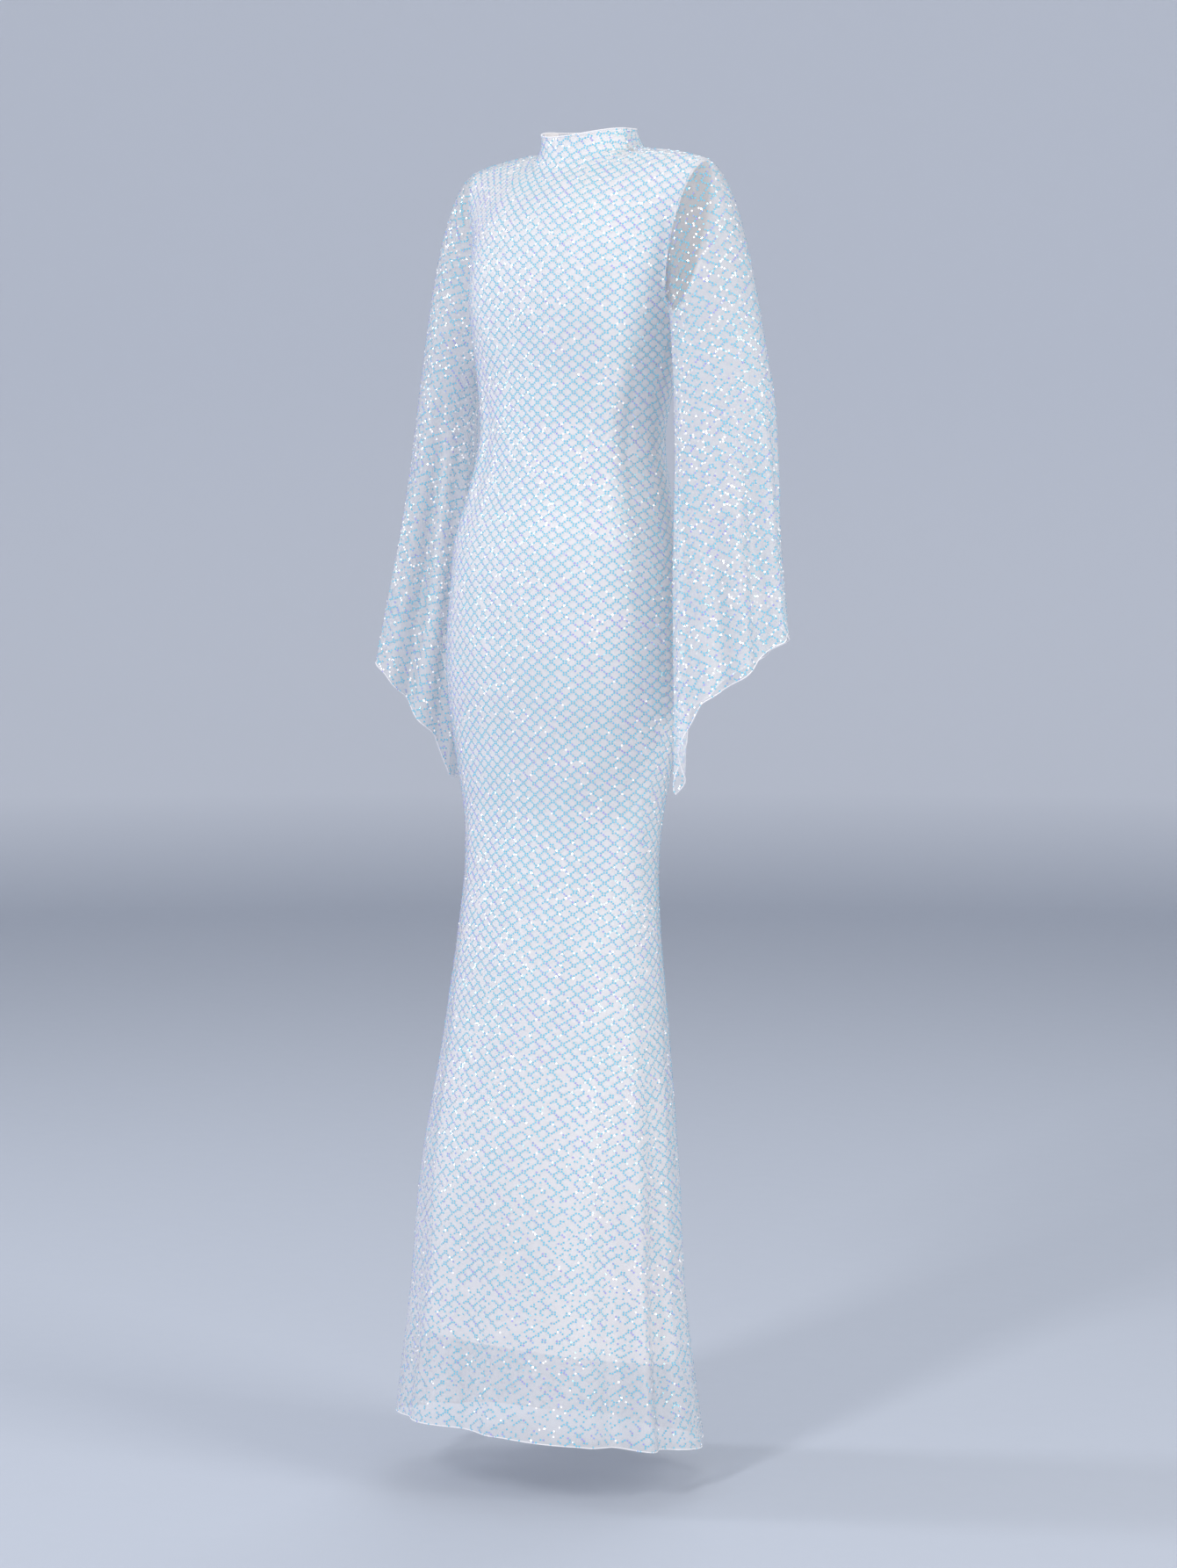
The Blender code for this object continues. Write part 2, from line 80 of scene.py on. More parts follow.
LOWEST_FIT, UNDERARM = -0.80, -0.165
LINING_SHORTER, LINING_INSET, LINING_SKIRT_INSET = 0.095, 0.0036, 0.015

# Angles of the panel's coarse columns from the centre front (0) to the centre back (180), and where
# they meet the neck and the shoulder seam.
FRONT_ANGLES = (0, 8, 19, 29, 39, 48, 56, 68, 76, 83, 90)
BACK_ANGLES = (180, 172, 163, 153, 143, 133, 123, 113, 104, 97, 90)
NECK_COLUMN = 4  # this one runs into the end of the shoulder seam at the neck
NECK_STEPS = (0.0, 0.17, 0.42, 0.71, 1.0)
SHOULDER_STEPS = (0.0, 0.16, 0.33, 0.52, 0.70, 0.86, 1.0)

# Soft folds of the skirt: angle, half width in degrees, height at the hem, the level where it
# begins, and how far it wanders sideways by the hem, in degrees.
FOLDS = (
    (8, 8, -0.009, -0.98, 0), (-11, 9, 0.007, -0.98, -2), (38, 14, 0.007, -0.98, 3),
    (69, 7, -0.014, -0.86, 2), (82, 6, 0.013, -0.86, 0), (96, 6, -0.011, -0.94, -2),
    (112, 9, 0.006, -0.94, 0), (-45, 14, 0.004, -0.98, 0), (-69, 7, -0.014, -0.86, -2),
    (-82, 6, 0.013, -0.86, 0), (-96, 6, -0.011, -0.94, 2), (-112, 9, 0.006, -0.94, 0),
    (133, 8, -0.011, -0.90, 2), (153, 9, 0.008, -0.90, 0), (180, 8, -0.010, -0.98, 0),
    (-133, 8, -0.011, -0.90, -2), (-153, 9, 0.008, -0.90, 0),
    (22, 3, 0.003, -1.20, -2), (-28, 4, -0.003, -1.15, 2), (57, 3, 0.003, -1.10, 2),
)
DART = (57, 15, 0.0115, -0.47, -0.17)  # angle, half width in degrees, height, lowest and highest point
DART_SEAM = (0.9, 0.0016)  # half width in degrees and depth of the sewn line down its middle

NECK_BASE, NECK_TOP = (0.061, 0.060, 0.072, 0.008), (0.056, 0.057, 0.048, 0.008)
NECK_BASE_HEIGHTS, NECK_TOP_HEIGHTS = (-0.004, 0.021, 0.022), (0.034, 0.044, 0.046)
SHOULDER_TIP, SHOULDER_ROUND, SHOULDER_LIFT = (0.184, 0.004, 0.005), 2.0, 0.14
NECK_CLIMB, NECK_LEAN = (0.59, 1.2), 0.24
FOOT_FULLNESS, NECK_FULLNESS, SEAM_FULLNESS = 0.38, 0.28, (0.36, 0.44)
YOKE_CROWDING = 1.35
FRONT_ARMHOLE = ((0.000, -0.034, 0.018), (-0.006, -0.040, -0.006))
BACK_ARMHOLE = ((0.006, 0.040, 0.018), (-0.004, 0.046, -0.006))

# Sleeve sections down the arm: height, centre X and Y, half sizes to the outer back and outer front.
SLEEVE = (
    (-0.165, 0.204, -0.003, 0.047, 0.038),
    (-0.250, 0.221, -0.006, 0.055, 0.035),
    (-0.335, 0.229, -0.008, 0.057, 0.039),
    (-0.420, 0.236, -0.013, 0.059, 0.044),
    (-0.490, 0.243, -0.016, 0.062, 0.048),
    (-0.600, 0.258, -0.022, 0.067, 0.054),
    (-0.720, 0.266, -0.026, 0.070, 0.058),
)
CAP_END = -0.25
CUFF_LEFT = ((0, -0.533), (40, -0.568), (60, -0.580), (80, -0.596), (100, -0.632), (120, -0.675),
             (140, -0.700), (160, -0.655), (180, -0.605), (220, -0.570), (320, -0.512))
CUFF_RIGHT = ((0, -0.520), (40, -0.548), (80, -0.572), (100, -0.590), (120, -0.612), (140, -0.636),
              (160, -0.652), (180, -0.700), (200, -0.705), (220, -0.665), (260, -0.600), (320, -0.530))
# Folds round the sleeve: how many, their turn, and their share of its size.
SLEEVE_FOLDS = ((4, 40, 0.055), (3, 100, 0.03), (10, 0, 0.055), (7, 60, 0.045))
# Creases that hang from the cap: turn, half width in degrees, depth at the cuff, and the level where
# each begins.
CREASES_LEFT = ((18, 9, -0.0083, -0.20), (48, 11, 0.0053, -0.22), (78, 9, -0.0075, -0.24),
                (118, 10, 0.0045, -0.22), (205, 12, -0.0090, -0.22), (262, 10, -0.0075, -0.24),
                (300, 10, 0.0045, -0.22), (334, 8, -0.0120, -0.24))
CREASES_RIGHT = ((14, 10, -0.0075, -0.20), (62, 9, -0.0075, -0.26), (92, 10, 0.0053, -0.22),
                 (128, 9, -0.0090, -0.24), (165, 10, 0.0045, -0.30), (236, 10, -0.0075, -0.24),
                 (290, 12, -0.0075, -0.22), (330, 9, 0.0045, -0.22))

ROW_STEP = 0.009  # between two rows of a fine sheet, up the body
FINE = 5  # fine columns to one coarse column
EASING = 45  # rounds of easing of the yoke and the collar
YOKE_ROWS, COLLAR_ROWS, CAP_ROWS, SLEEVE_ROWS, SLEEVE_TURNS = 26, 6, 16, 44, 96
EDGE_ASIDE, ZIP_FOOT = 0.0010, -0.57  # the zip's two edges from the centre, and its lower end
SLEEVE_SEAM = 180  # the sleeve's seam runs down the inside of the arm
WAIST = -0.31  # the row from which the cut of a body panel is measured
CUT_ROUNDS = 24  # rounds of easing of a flat cut
TURNED_EDGE, ROLLED_HEM = 0.0008, 0.0007  # radius of the collar's edge and of the hems

# How a net piece is sewn: its share of gaps, the same at the hem, and the share of sequins that get a
# painted glint, white and glowing.
SEWING = {
    "front": (0.24, 0.50, 0.032),
    "back_left": (0.26, 0.50, 0.040),
    "back_right": (0.26, 0.50, 0.040),
    "sleeve_left": (0.40, 0.40, 0.13),
    "sleeve_right": (0.40, 0.40, 0.13),
}
SIDE_START, SIDE_STEP = 0.20, 0.30  # where the three sequins of a diamond's side lie on it
GAP_HEIGHTS = (-0.75, -1.46)  # from the first of these down to the second the gaps grow in number

# The round backdrop: height and reach of its floor, its bend, the height of its wall over the floor.
FLOOR, REACH, BEND, WALL, BACKDROP_TURNS = -1.50, 6.0, 1.4, 3.6, 64
FLOOR_RINGS = (0.4, 2.0, REACH)
WALL_FADE = (-1.25, -1.49)  # the wall's colour turns into the floor's between these heights
# Name, place, aim, size, power in watts and colour.
LIGHTS = (
    ("key", (1.2, -4.3, 1.9), (0, 0, -0.4), (0.55, 1.2), 92, (1.0, 0.98, 0.96)),
    ("left", (-3.4, -2.6, 1.0), (0, 0, -0.6), (0.8, 1.8), 66, (0.95, 0.96, 1.0)),
    ("fill", (4.4, 0.4, 1.0), (0, 0, -0.4), (2.0, 2.0), 98, (1.0, 0.97, 0.92)),
    ("back", (-1.5, 2.4, 2.4), (0, 0, -0.6), (2.0, 2.0), 32, (0.97, 0.98, 1.0)),
)
SKY_COLOUR, SKY_STRENGTH = (0.94, 0.95, 0.99, 1.0), 0.52
# The camera: how far it stands off, to which side and how high, its tilt down, lens in millimetres.
CAMERA_DISTANCE, CAMERA_ASIDE, CAMERA_HEIGHT, CAMERA_TILT, CAMERA_LENS = 4.97, 0.046, -0.314, 0.0773, 100.24
DRESS_AXIS = -0.061  # the middle of the skirt along Y


def length_value(name, description, default, low, high):
    return FloatProperty(name=name, description=description, default=default, min=low, max=high,
                         subtype="DISTANCE", unit="LENGTH")


def colour_value(name, description, default):
    return FloatVectorProperty(name=name, description=description, default=default, min=0, max=1,
                               size=3, subtype="COLOR")


class DressSizes(bpy.types.PropertyGroup):
    lattice_across: length_value(
        "Lattice across", "Width of one diamond of the sequin lattice", 0.0162, 0.004, 0.05)
    lattice_up: length_value(
        "Lattice up", "Height of one diamond of the sequin lattice", 0.0127, 0.004, 0.05)
    sequin_across: length_value("Sequin", "Diameter of one sequin", 0.0023, 0.001, 0.008)
    sequin_stand: length_value("Stand", "How far a sequin lies off the net", 0.0006, 0.0, 0.003)
    sequin_tilt: FloatProperty(
        name="Tilt", description="Largest lean of a sequin on its thread",
        default=math.radians(17), min=0.0, max=math.radians(45), subtype="ANGLE", unit="ROTATION")
    net_cover: FloatProperty(
        name="Net cover", description="Share of the light that the net stops",
        default=0.46, min=0.0, max=1.0, subtype="FACTOR")
    weave_pitch: length_value("Weave", "Distance between two threads of the net", 0.0011, 0.0003, 0.005)
    seed: IntProperty(
        name="Seed", description="Seed of the tilt and the gaps of the sequins", default=7, min=0)


class DressColours(bpy.types.PropertyGroup):
    net: colour_value("Net", "Colour of the net", (0.94, 0.93, 0.95))
    # Painted shade: the sleeves' net is a greyer copy of the body's net colour, darkened to stand in for the
    # shade on the sleeves.
    sleeve_net: colour_value("Sleeve net", "Colour of the sleeves' net", (0.84, 0.84, 0.86))
    lining: colour_value("Lining", "Colour of the lining", (0.96, 0.94, 0.95))
    cyan: colour_value("Cyan", "Colour of most sequins", (0.17, 0.64, 0.86))
    violet: colour_value("Violet", "Colour of the sequins that lean to violet", (0.40, 0.40, 0.90))
    pale: colour_value("Pale", "Colour of the clear sequins", (0.80, 0.90, 0.95))
    # Painted glint: the white colour and glow given to a few sequins in place of a reflection of the lamps.
    painted_glint: colour_value("Painted glint", "Colour and glow of the sequins that flash", (1.0, 0.95, 0.93))
    floor: colour_value("Floor", "Colour of the floor", (0.50, 0.545, 0.63))
    backdrop: colour_value("Backdrop", "Colour of the backdrop", (0.74, 0.78, 0.86))


# ---------------------------------------------------------------- form


def along(table, z):
    """The columns of a table of levels at height z, on a smooth curve through its rows."""
    rows = np.array(sorted(table))
    heights, values = rows[:, 0], rows[:, 1:]
    slopes = np.gradient(values, heights, axis=0)
    i = int(np.clip(np.searchsorted(heights, z) - 1, 0, len(heights) - 2))
    step = heights[i + 1] - heights[i]
    t = np.clip((z - heights[i]) / step, 0.0, 1.0)
    return ((1 + 2 * t) * (1 - t) ** 2 * values[i] + t * (1 - t) ** 2 * step * slopes[i]
            + t * t * (3 - 2 * t) * values[i + 1] + t * t * (t - 1) * step * slopes[i + 1])


def unit(vector):
    return vector / np.linalg.norm(vector, axis=-1, keepdims=True)


def ease(t):
    t = np.clip(t, 0.0, 1.0)
    return t * t * (3 - 2 * t)


def turn_between(a, b):
    return (a - b + 180) % 360 - 180


def bump_at(angle, middle, width):
    return math.exp(-((turn_between(angle, middle) / width) ** 2))


def hem_height(angle, shorter=0.0):
    return HEM_MIDDLE + HEM_RISE * math.cos(math.radians(angle)) + shorter


def stand_out(angle, z, folded):
    """How far the folds and darts stand out from the plain section of the body."""
    total = 0.0
    if folded:
        for middle, width, height, start, drift in FOLDS:
            grown = float(ease((start - z) / (start - HEM_MIDDLE)))
            total += height * grown * bump_at(angle, middle + drift * grown, width)
    middle, width, depth, foot, head = DART
    if foot < z < head:
        taper = math.sin(math.pi * (z - foot) / (head - foot))
        total += depth * taper * max(0.0, 1 - abs(turn_between(abs(angle), middle)) / width)
        if folded:
            total -= DART_SEAM[1] * taper**0.5 * bump_at(abs(angle), middle, DART_SEAM[0])
    return total


def body_point(angle, z, inset=0.0, folded=True):
    """A point of the body of the dress: angle 0 is the centre front, 90 the left side seam."""
    half, front, back, middle, square = along(LEVELS, z)
    sine, cosine = math.sin(math.radians(angle)), math.cos(math.radians(angle))
    depth = front if cosine >= 0 else back
    power = 2 / square if cosine >= 0 else 2 / (0.5 * square + 1.0)
    x = (half - inset) * math.copysign(abs(sine) ** power, sine)
    y = middle - (depth - inset) * math.copysign(abs(cosine) ** power, cosine)
    stand = stand_out(angle, z, folded)
    return np.array((x + stand * sine, y - stand * cosine, z))


def neck_point(ring, heights, side, front, step):
    half, before, behind, middle = ring
    turn = math.radians(90 * step)
    end = heights[0] if front else heights[2]
    return np.array((side * half * math.sin(turn),
                     middle + (-before if front else behind) * math.cos(turn),
                     end + (heights[1] - end) * math.sin(turn) ** 2))


def shoulder_point(side, share):
    neck = neck_point(NECK_BASE, NECK_BASE_HEIGHTS, side, True, 1.0)
    tip = np.array(SHOULDER_TIP) * (side, 1, 1)
    point = neck + (tip - neck) * share
    point[2] = neck[2] + (tip[2] - neck[2]) * share**SHOULDER_ROUND
    return point


def bezier(points, t):
    a, b, c, d = (np.asarray(p, float) for p in points)
    return (1 - t) ** 3 * a + 3 * t * (1 - t) ** 2 * b + 3 * t * t * (1 - t) * c + t**3 * d


def yoke_column(column, side, front):
    """The four points that shape a column of the yoke, from the underarm to the neck or shoulder."""
    facing = 1 if front else -1
    angle = side * np.interp(column, range(11), FRONT_ANGLES if front else BACK_ANGLES)
    foot = body_point(angle, UNDERARM)
    rise = unit(foot - body_point(angle, UNDERARM - 0.02))
    over = np.array((0, 1, SHOULDER_LIFT)) * facing
    fullness = SEAM_FULLNESS[0 if front else 1]
    if column <= NECK_COLUMN:
        share = np.interp(column, range(5), NECK_STEPS)
        head = neck_point(NECK_BASE, NECK_BASE_HEIGHTS, side, front, share)
        lean = -NECK_LEAN * side * math.sin(math.radians(180 * share))
        climb = NECK_CLIMB[0 if front else 1]
        arrive = unit(np.array((lean, facing, climb + (facing * SHOULDER_LIFT - climb) * share**2)))
        fullness = NECK_FULLNESS + (fullness - NECK_FULLNESS) * share**3
    else:
        head = shoulder_point(side, np.interp(column, range(NECK_COLUMN, 11), SHOULDER_STEPS))
        arrive = over
    reach = np.linalg.norm(head - foot)
    out = (column / 10) ** 6
    pulls = FRONT_ARMHOLE if front else BACK_ARMHOLE
    mirror = np.array((side, 1, 1))
    first = rise * FOOT_FULLNESS * reach * (1 - out) + np.array(pulls[0]) * mirror * out
    second = -arrive * fullness * reach * (1 - out) + np.array(pulls[1]) * mirror * out
    return foot, foot + first, head + second, head


def yoke_point(column, side, front, share):
    return bezier(yoke_column(column, side, front), 1 - (1 - share) ** YOKE_CROWDING)


def collar_point(column, side, front, t):
    share = np.interp(column, range(5), NECK_STEPS)
    base = neck_point(NECK_BASE, NECK_BASE_HEIGHTS, side, front, share)
    top = neck_point(NECK_TOP, NECK_TOP_HEIGHTS, side, front, share)
    return base + (top - base) * np.array((t**0.5, t**0.5, t))


def half_panel(side, front, shorter=0.0, lining=False):
    """Columns of points of half a panel from the hem up, the centre column first."""
    columns = []
    collar = front or not lining
    rows = np.arange(HEM_MIDDLE + 0.02, UNDERARM - ROW_STEP, ROW_STEP)
    for step in range(10 * FINE + 1):
        column = step / FINE
        angle = side * np.interp(column, range(11), FRONT_ANGLES if front else BACK_ANGLES)
        hem = hem_height(angle, shorter)
        spread = (rows - rows[0]) / (UNDERARM - rows[0])
        heights = [*(hem + (UNDERARM - hem) * spread), UNDERARM]
        points = [body_point(angle, z, LINING_SKIRT_INSET * float(ease((LOWEST_FIT - z) / 0.5))
                             if lining else 0.0, not lining) for z in heights]
        points += [yoke_point(column, side, front, row / YOKE_ROWS) for row in range(1, YOKE_ROWS + 1)]
        if collar and column <= NECK_COLUMN:
            points += [collar_point(column, side, front, row / COLLAR_ROWS)
                       for row in range(1, COLLAR_ROWS + 1)]
        columns.append(points)
    return columns


def softened(columns):
    """Eases a panel between the underarm, the armholes, the shoulder seams and the collar's edge."""
    rows = max(len(column) for column in columns)
    grid = np.full((len(columns) + 2, rows + 2, 3), np.nan)
    for i, column in enumerate(columns):
        grid[i + 1, 1:len(column) + 1] = column
    there = ~np.isnan(grid[:, :, 0])
    free = there.copy()
    for axis in (0, 1):
        for step in (-1, 1):
            free &= np.roll(there, step, axis)
    yoke_end = rows - COLLAR_ROWS if rows > len(columns[-1]) else rows
    free[:, :yoke_end - YOKE_ROWS - 5] = False
    for i in range(1, len(columns)):
        if len(columns[i]) != len(columns[i - 1]):  # the end of the shoulder seam stays put
            free[i if len(columns[i]) < rows else i + 1, yoke_end] = False
    for _ in range(EASING):
        mean = sum(np.roll(grid, step, axis) for axis in (0, 1) for step in (-1, 1)) / 4
        grid[free] += 0.6 * (mean[free] - grid[free])
    return [list(grid[i + 1, 1:len(column) + 1]) for i, column in enumerate(columns)]


def front_panel(shorter=0.0, lining=False):
    right, left = (half_panel(side, True, shorter, lining) for side in (-1, 1))
    return softened(right[::-1] + left[1:])


def back_panel(side, shorter=0.0, lining=False):
    return softened(half_panel(side, False, shorter, lining))


def moved_in(columns, depth):
    """The points of a half panel moved towards the wearer, along the sheet's own normals."""
    length = min(len(column) for column in columns)
    moved = []
    for i, column in enumerate(columns):
        before, after = columns[max(i - 1, 0)], columns[min(i + 1, len(columns) - 1)]
        points = []
        for row, point in enumerate(column):
            low, high = column[max(row - 1, 0)], column[min(row + 1, len(column) - 1)]
            left = before[row] if row < len(before) else point
            right = after[row] if row < len(after) else point
            inward = np.cross(right - left, high - low)
            size = np.linalg.norm(inward)
            heart = np.array((0.0, 0.0, min(point[2], UNDERARM)))
            inward = inward / size if size > 1e-12 else unit(heart - point)
            place = point + depth * (inward if inward @ (heart - point) > 0 else -inward)
            if i == 0:
                place[0] = 0.0
            if row >= length - 1:
                place[1] = point[1] if i >= NECK_COLUMN * len(columns) // 10 else place[1]
            points.append(place)
        moved.append(points)
    return moved


def sleeve_point(turn, z, creases):
    """A point of a left sleeve's section: turn 0 is outermost, 90 the front, 180 by the body."""
    x, y, back_half, front_half = along(SLEEVE, z)
    grown = float(ease((CAP_END + 0.05 - z) / 0.3))
    ripple = 1 + sum(share * grown * math.cos(math.radians(count * turn + start))
                     for count, start, share in SLEEVE_FOLDS)
    drifted = turn + 14 * math.sin(9 * z)
    stand = sum(depth * float(ease((start - z) / 0.30)) * bump_at(drifted, middle, width)
                for middle, width, depth, start in creases)
    slant = math.radians(turn + 45)
    across = (back_half * ripple + stand) * math.cos(slant)
    deep = (front_half * ripple + stand) * math.sin(slant)
    root = math.sqrt(0.5)
    return np.array((x + root * (across + deep), y + root * (across - deep), z))


def armhole_point(turn):
    """A point of the left armhole: turn 0 is the tip of the shoulder, 180 the underarm."""
    return yoke_point(10, 1, turn <= 180, abs(180 - turn) / 180)


def sleeve_columns(cuff, creases):
    """Columns of a left sleeve from the armhole down to its hem, from its seam round to it again."""
    columns = []
    for step in range(SLEEVE_TURNS + 1):
        turn = (SLEEVE_SEAM + 360 * step / SLEEVE_TURNS) % 360
        start, end = armhole_point(turn), sleeve_point(turn, CAP_END, creases)
        outer = (1 + math.cos(math.radians(turn))) / 2
        leave = unit(np.array((0.35 + 0.46 * outer, -0.55 * math.sin(math.radians(turn)),
                               -0.95 + 0.55 * outer)))
        rise = unit(sleeve_point(turn, CAP_END + 0.02, creases) - end)
        reach = np.linalg.norm(end - start)
        pull = start + leave * 0.15 * reach, end + rise * 0.44 * reach
        column = [bezier((start, *pull, end), row / CAP_ROWS) for row in range(CAP_ROWS + 1)]
        drop = np.interp(turn, *np.transpose(cuff), period=360) - CAP_END
        column += [sleeve_point(turn, CAP_END + drop * row / SLEEVE_ROWS, creases)
                   for row in range(1, SLEEVE_ROWS + 1)]
        columns.append(column)
    return columns


def cut_of(columns, start_row, turned=1):
    """Where each point lies on a rough cut, in metres: across from the first column, up from a row."""
    cut = []
    across = [0.0] * max(len(column) for column in columns)
    for i, column in enumerate(columns):
        up = np.concatenate(([0.0], np.cumsum(np.linalg.norm(np.diff(column, axis=0), axis=1))))
        up -= up[min(start_row, len(up) - 1)]
        if i:
            for row in range(min(len(column), len(columns[i - 1]))):
                across[row] += np.linalg.norm(column[row] - columns[i - 1][row])
        cut.append([(turned * across[row], up[row]) for row in range(len(column))])
    return cut


# ---------------------------------------------------------------- making


def new_piece(name, points, faces, material):
    """A smooth mesh object in the scene."""
    data = bpy.data.meshes.new(name)
    data.from_pydata(points, [], faces)
    data.shade_smooth()
    data.materials.append(material)
    piece = bpy.data.objects.new(name, data)
    bpy.context.scene.collection.objects.link(piece)
    return piece


def face_corners(data):
    """The vertex at each corner of a mesh's faces."""
    corners = np.empty(len(data.loops), dtype=np.int32)
    data.loops.foreach_get("vertex_index", corners)
    return corners


def flat_cut(data):
    """A sheet's flat cut at each corner of its faces."""
    flat = np.empty(len(data.loops) * 2)
    data.uv_layers["cut"].data.foreach_get("uv", flat)
    return flat.reshape(-1, 2)


def sheet(name, columns, cut, material, flip=False):
    """Skins neighbouring columns of points and keeps the flat cut as the sheet's UV map."""
    index, points, flat = [], [], []
    for column, places in zip(columns, cut):
        index.append(range(len(points), len(points) + len(column)))
        points += [tuple(point) for point in column]
        flat += places
    faces = []
    for left, right in zip(index, index[1:]):
        for row in range(min(len(left), len(right)) - 1):
            corners = (left[row], right[row], right[row + 1], left[row + 1])
            faces.append(corners[::-1] if flip else corners)
    piece = new_piece(name, points, faces, material)
    layer = piece.data.uv_layers.new(name="cut")
    layer.data.foreach_set("uv", np.array(flat)[face_corners(piece.data)].ravel())
    return piece


def tube(name, points, radius, material, closed=False, sides=6):
    """A thin round edging along a run of points."""
    points = np.array(points)
    count = len(points)
    verts, faces = [], []
    for i, point in enumerate(points):
        before = points[(i - 1) % count] if closed or i else point
        after = points[(i + 1) % count] if closed or i < count - 1 else point
        run = unit(after - before)
        side = unit(np.cross(run, (0.13, 0.21, 0.97)))
        lift = np.cross(side, run)
        for k in range(sides):
            turn = 2 * math.pi * k / sides
            verts.append(tuple(point + radius * (math.cos(turn) * side + math.sin(turn) * lift)))
    for i in range(count if closed else count - 1):
        for k in range(sides):
            a, b = i * sides, (i + 1) % count * sides
            faces.append((a + k, b + k, b + (k + 1) % sides, a + (k + 1) % sides))
    if not closed:
        faces += [tuple(range(sides))[::-1], tuple((count - 1) * sides + k for k in range(sides))]
    return new_piece(name, verts, faces, material)


def finish_piece(piece, body, slot, *nodes):
    """Puts a piece on its body, and hides the solids it replaces. The slot is not used."""
    if nodes:
        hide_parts(*nodes)
    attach(piece, body)


class Nodes:
    """Short words for building a node tree."""

    def __init__(self, tree):
        self.tree = tree

    def add(self, kind, inputs=(), **settings):
        node = self.tree.nodes.new(kind)
        for name, value in settings.items():
            setattr(node, name, value)
        for key, value in dict(inputs).items():
            self.give(node.inputs[key], value)
        return node

    def give(self, socket, value):
        """Links a socket to the output of another node, or sets its value."""
        if isinstance(value, bpy.types.NodeSocket):
            self.tree.links.new(value, socket)
        else:
            socket.default_value = value

    def math(self, operation, *values):
        return self.add("ShaderNodeMath", dict(enumerate(values)), operation=operation).outputs[0]

    def noise(self, place, scale, detail):
        return self.add("ShaderNodeTexNoise", {"Vector": place, "Scale": scale, "Detail": detail}).outputs[0]

    def spread(self, value, low, high, start=0.0, end=1.0):
        """The value's range from start to end, spread from low to high."""
        return self.add("ShaderNodeMapRange", {
            "Value": value, "From Min": start, "From Max": end, "To Min": low, "To Max": high}).outputs[0]

    def part(self, vector, axis):
        return self.add("ShaderNodeSeparateXYZ", {0: vector}).outputs[axis]

    def mix(self, factor, first, second, blend="MIX"):
        """A mix of two colours."""
        return self.add("ShaderNodeMix", {"Factor": factor, 6: first, 7: second},
                        data_type="RGBA", blend_type=blend).outputs[2]

    def stored(self, name, kind="FLOAT_VECTOR"):
        return self.add("GeometryNodeInputNamedAttribute", {"Name": name}, data_type=kind).outputs[0]

    def store(self, points, name, value, kind="FLOAT_VECTOR"):
        return self.add("GeometryNodeStoreNamedAttribute", {
            "Geometry": points, "Name": name, "Value": value}, data_type=kind, domain="POINT").outputs[0]


def as_complex(pairs):
    return pairs[:, 0] + 1j * pairs[:, 1]


def settled(piece):
    """Flattens a sheet as a cutter would, with as little stretch as it takes, the same way up as before."""
    rough = as_complex(flat_cut(piece.data))
    bpy.context.view_layer.objects.active = piece
    piece.select_set(True)
    bpy.ops.object.mode_set(mode="EDIT")
    bpy.ops.mesh.select_all(action="SELECT")
    bpy.ops.uv.unwrap(method="MINIMUM_STRETCH", iterations=CUT_ROUNDS)
    bpy.ops.object.mode_set(mode="OBJECT")
    piece.select_set(False)
    flat = as_complex(flat_cut(piece.data))
    best = None
    for way in (flat, flat.conj()):
        centred, wanted = way - way.mean(), rough - rough.mean()
        turn = (centred.conj() @ wanted) / (centred.conj() @ centred).real
        miss = np.abs(centred * turn - wanted).sum()
        if best is None or miss < best[0]:
            best = miss, centred * turn + rough.mean()
    # The sheet and its cut have the same area.
    points = np.empty(len(piece.data.vertices) * 3)
    piece.data.vertices.foreach_get("co", points)
    points = points.reshape(-1, 3)[face_corners(piece.data)].reshape(-1, 4, 3)
    crossed = np.cross(points[:, 2] - points[:, 0], points[:, 3] - points[:, 1])
    spread = np.linalg.norm(crossed, axis=1).sum() / 2
    place = best[1].reshape(-1, 4)
    across, up = place[:, 2] - place[:, 0], place[:, 3] - place[:, 1]
    covered = np.abs((across.conj() * up).imag).sum() / 2
    middle = rough.mean()
    place = (best[1] - middle) * math.sqrt(spread / covered) + middle
    layer = piece.data.uv_layers["cut"]
    layer.data.foreach_set("uv", np.column_stack((place.real, place.imag)).ravel())


# ---------------------------------------------------------------- finishes


def new_material(name):
    material = bpy.data.materials.get(name)
    if material:
        return material, None, None
    material = bpy.data.materials.new(name)
    material.use_nodes = True
    nodes = Nodes(material.node_tree)
    return material, nodes, material.node_tree.nodes["Principled BSDF"]


def shade(nodes, shader, values):
    """Sets or links the sockets of a material's shader."""
    for name, value in values.items():
        nodes.give(shader.inputs[name], value)


def clouded(nodes, place, colour, scale, detail, darkest, lightest):
    """A colour that varies a little in soft clouds."""
    cloud = nodes.spread(nodes.noise(place, scale, detail), darkest, lightest)
    grey = nodes.add("ShaderNodeCombineColor", {0: cloud, 1: cloud, 2: cloud}).outputs[0]
    return nodes.mix(1.0, (*colour, 1.0), grey, "MULTIPLY")


def bumped(nodes, height, strength, distance):
    return nodes.add("ShaderNodeBump", {
        "Strength": strength, "Distance": distance, "Height": height}).outputs[0]


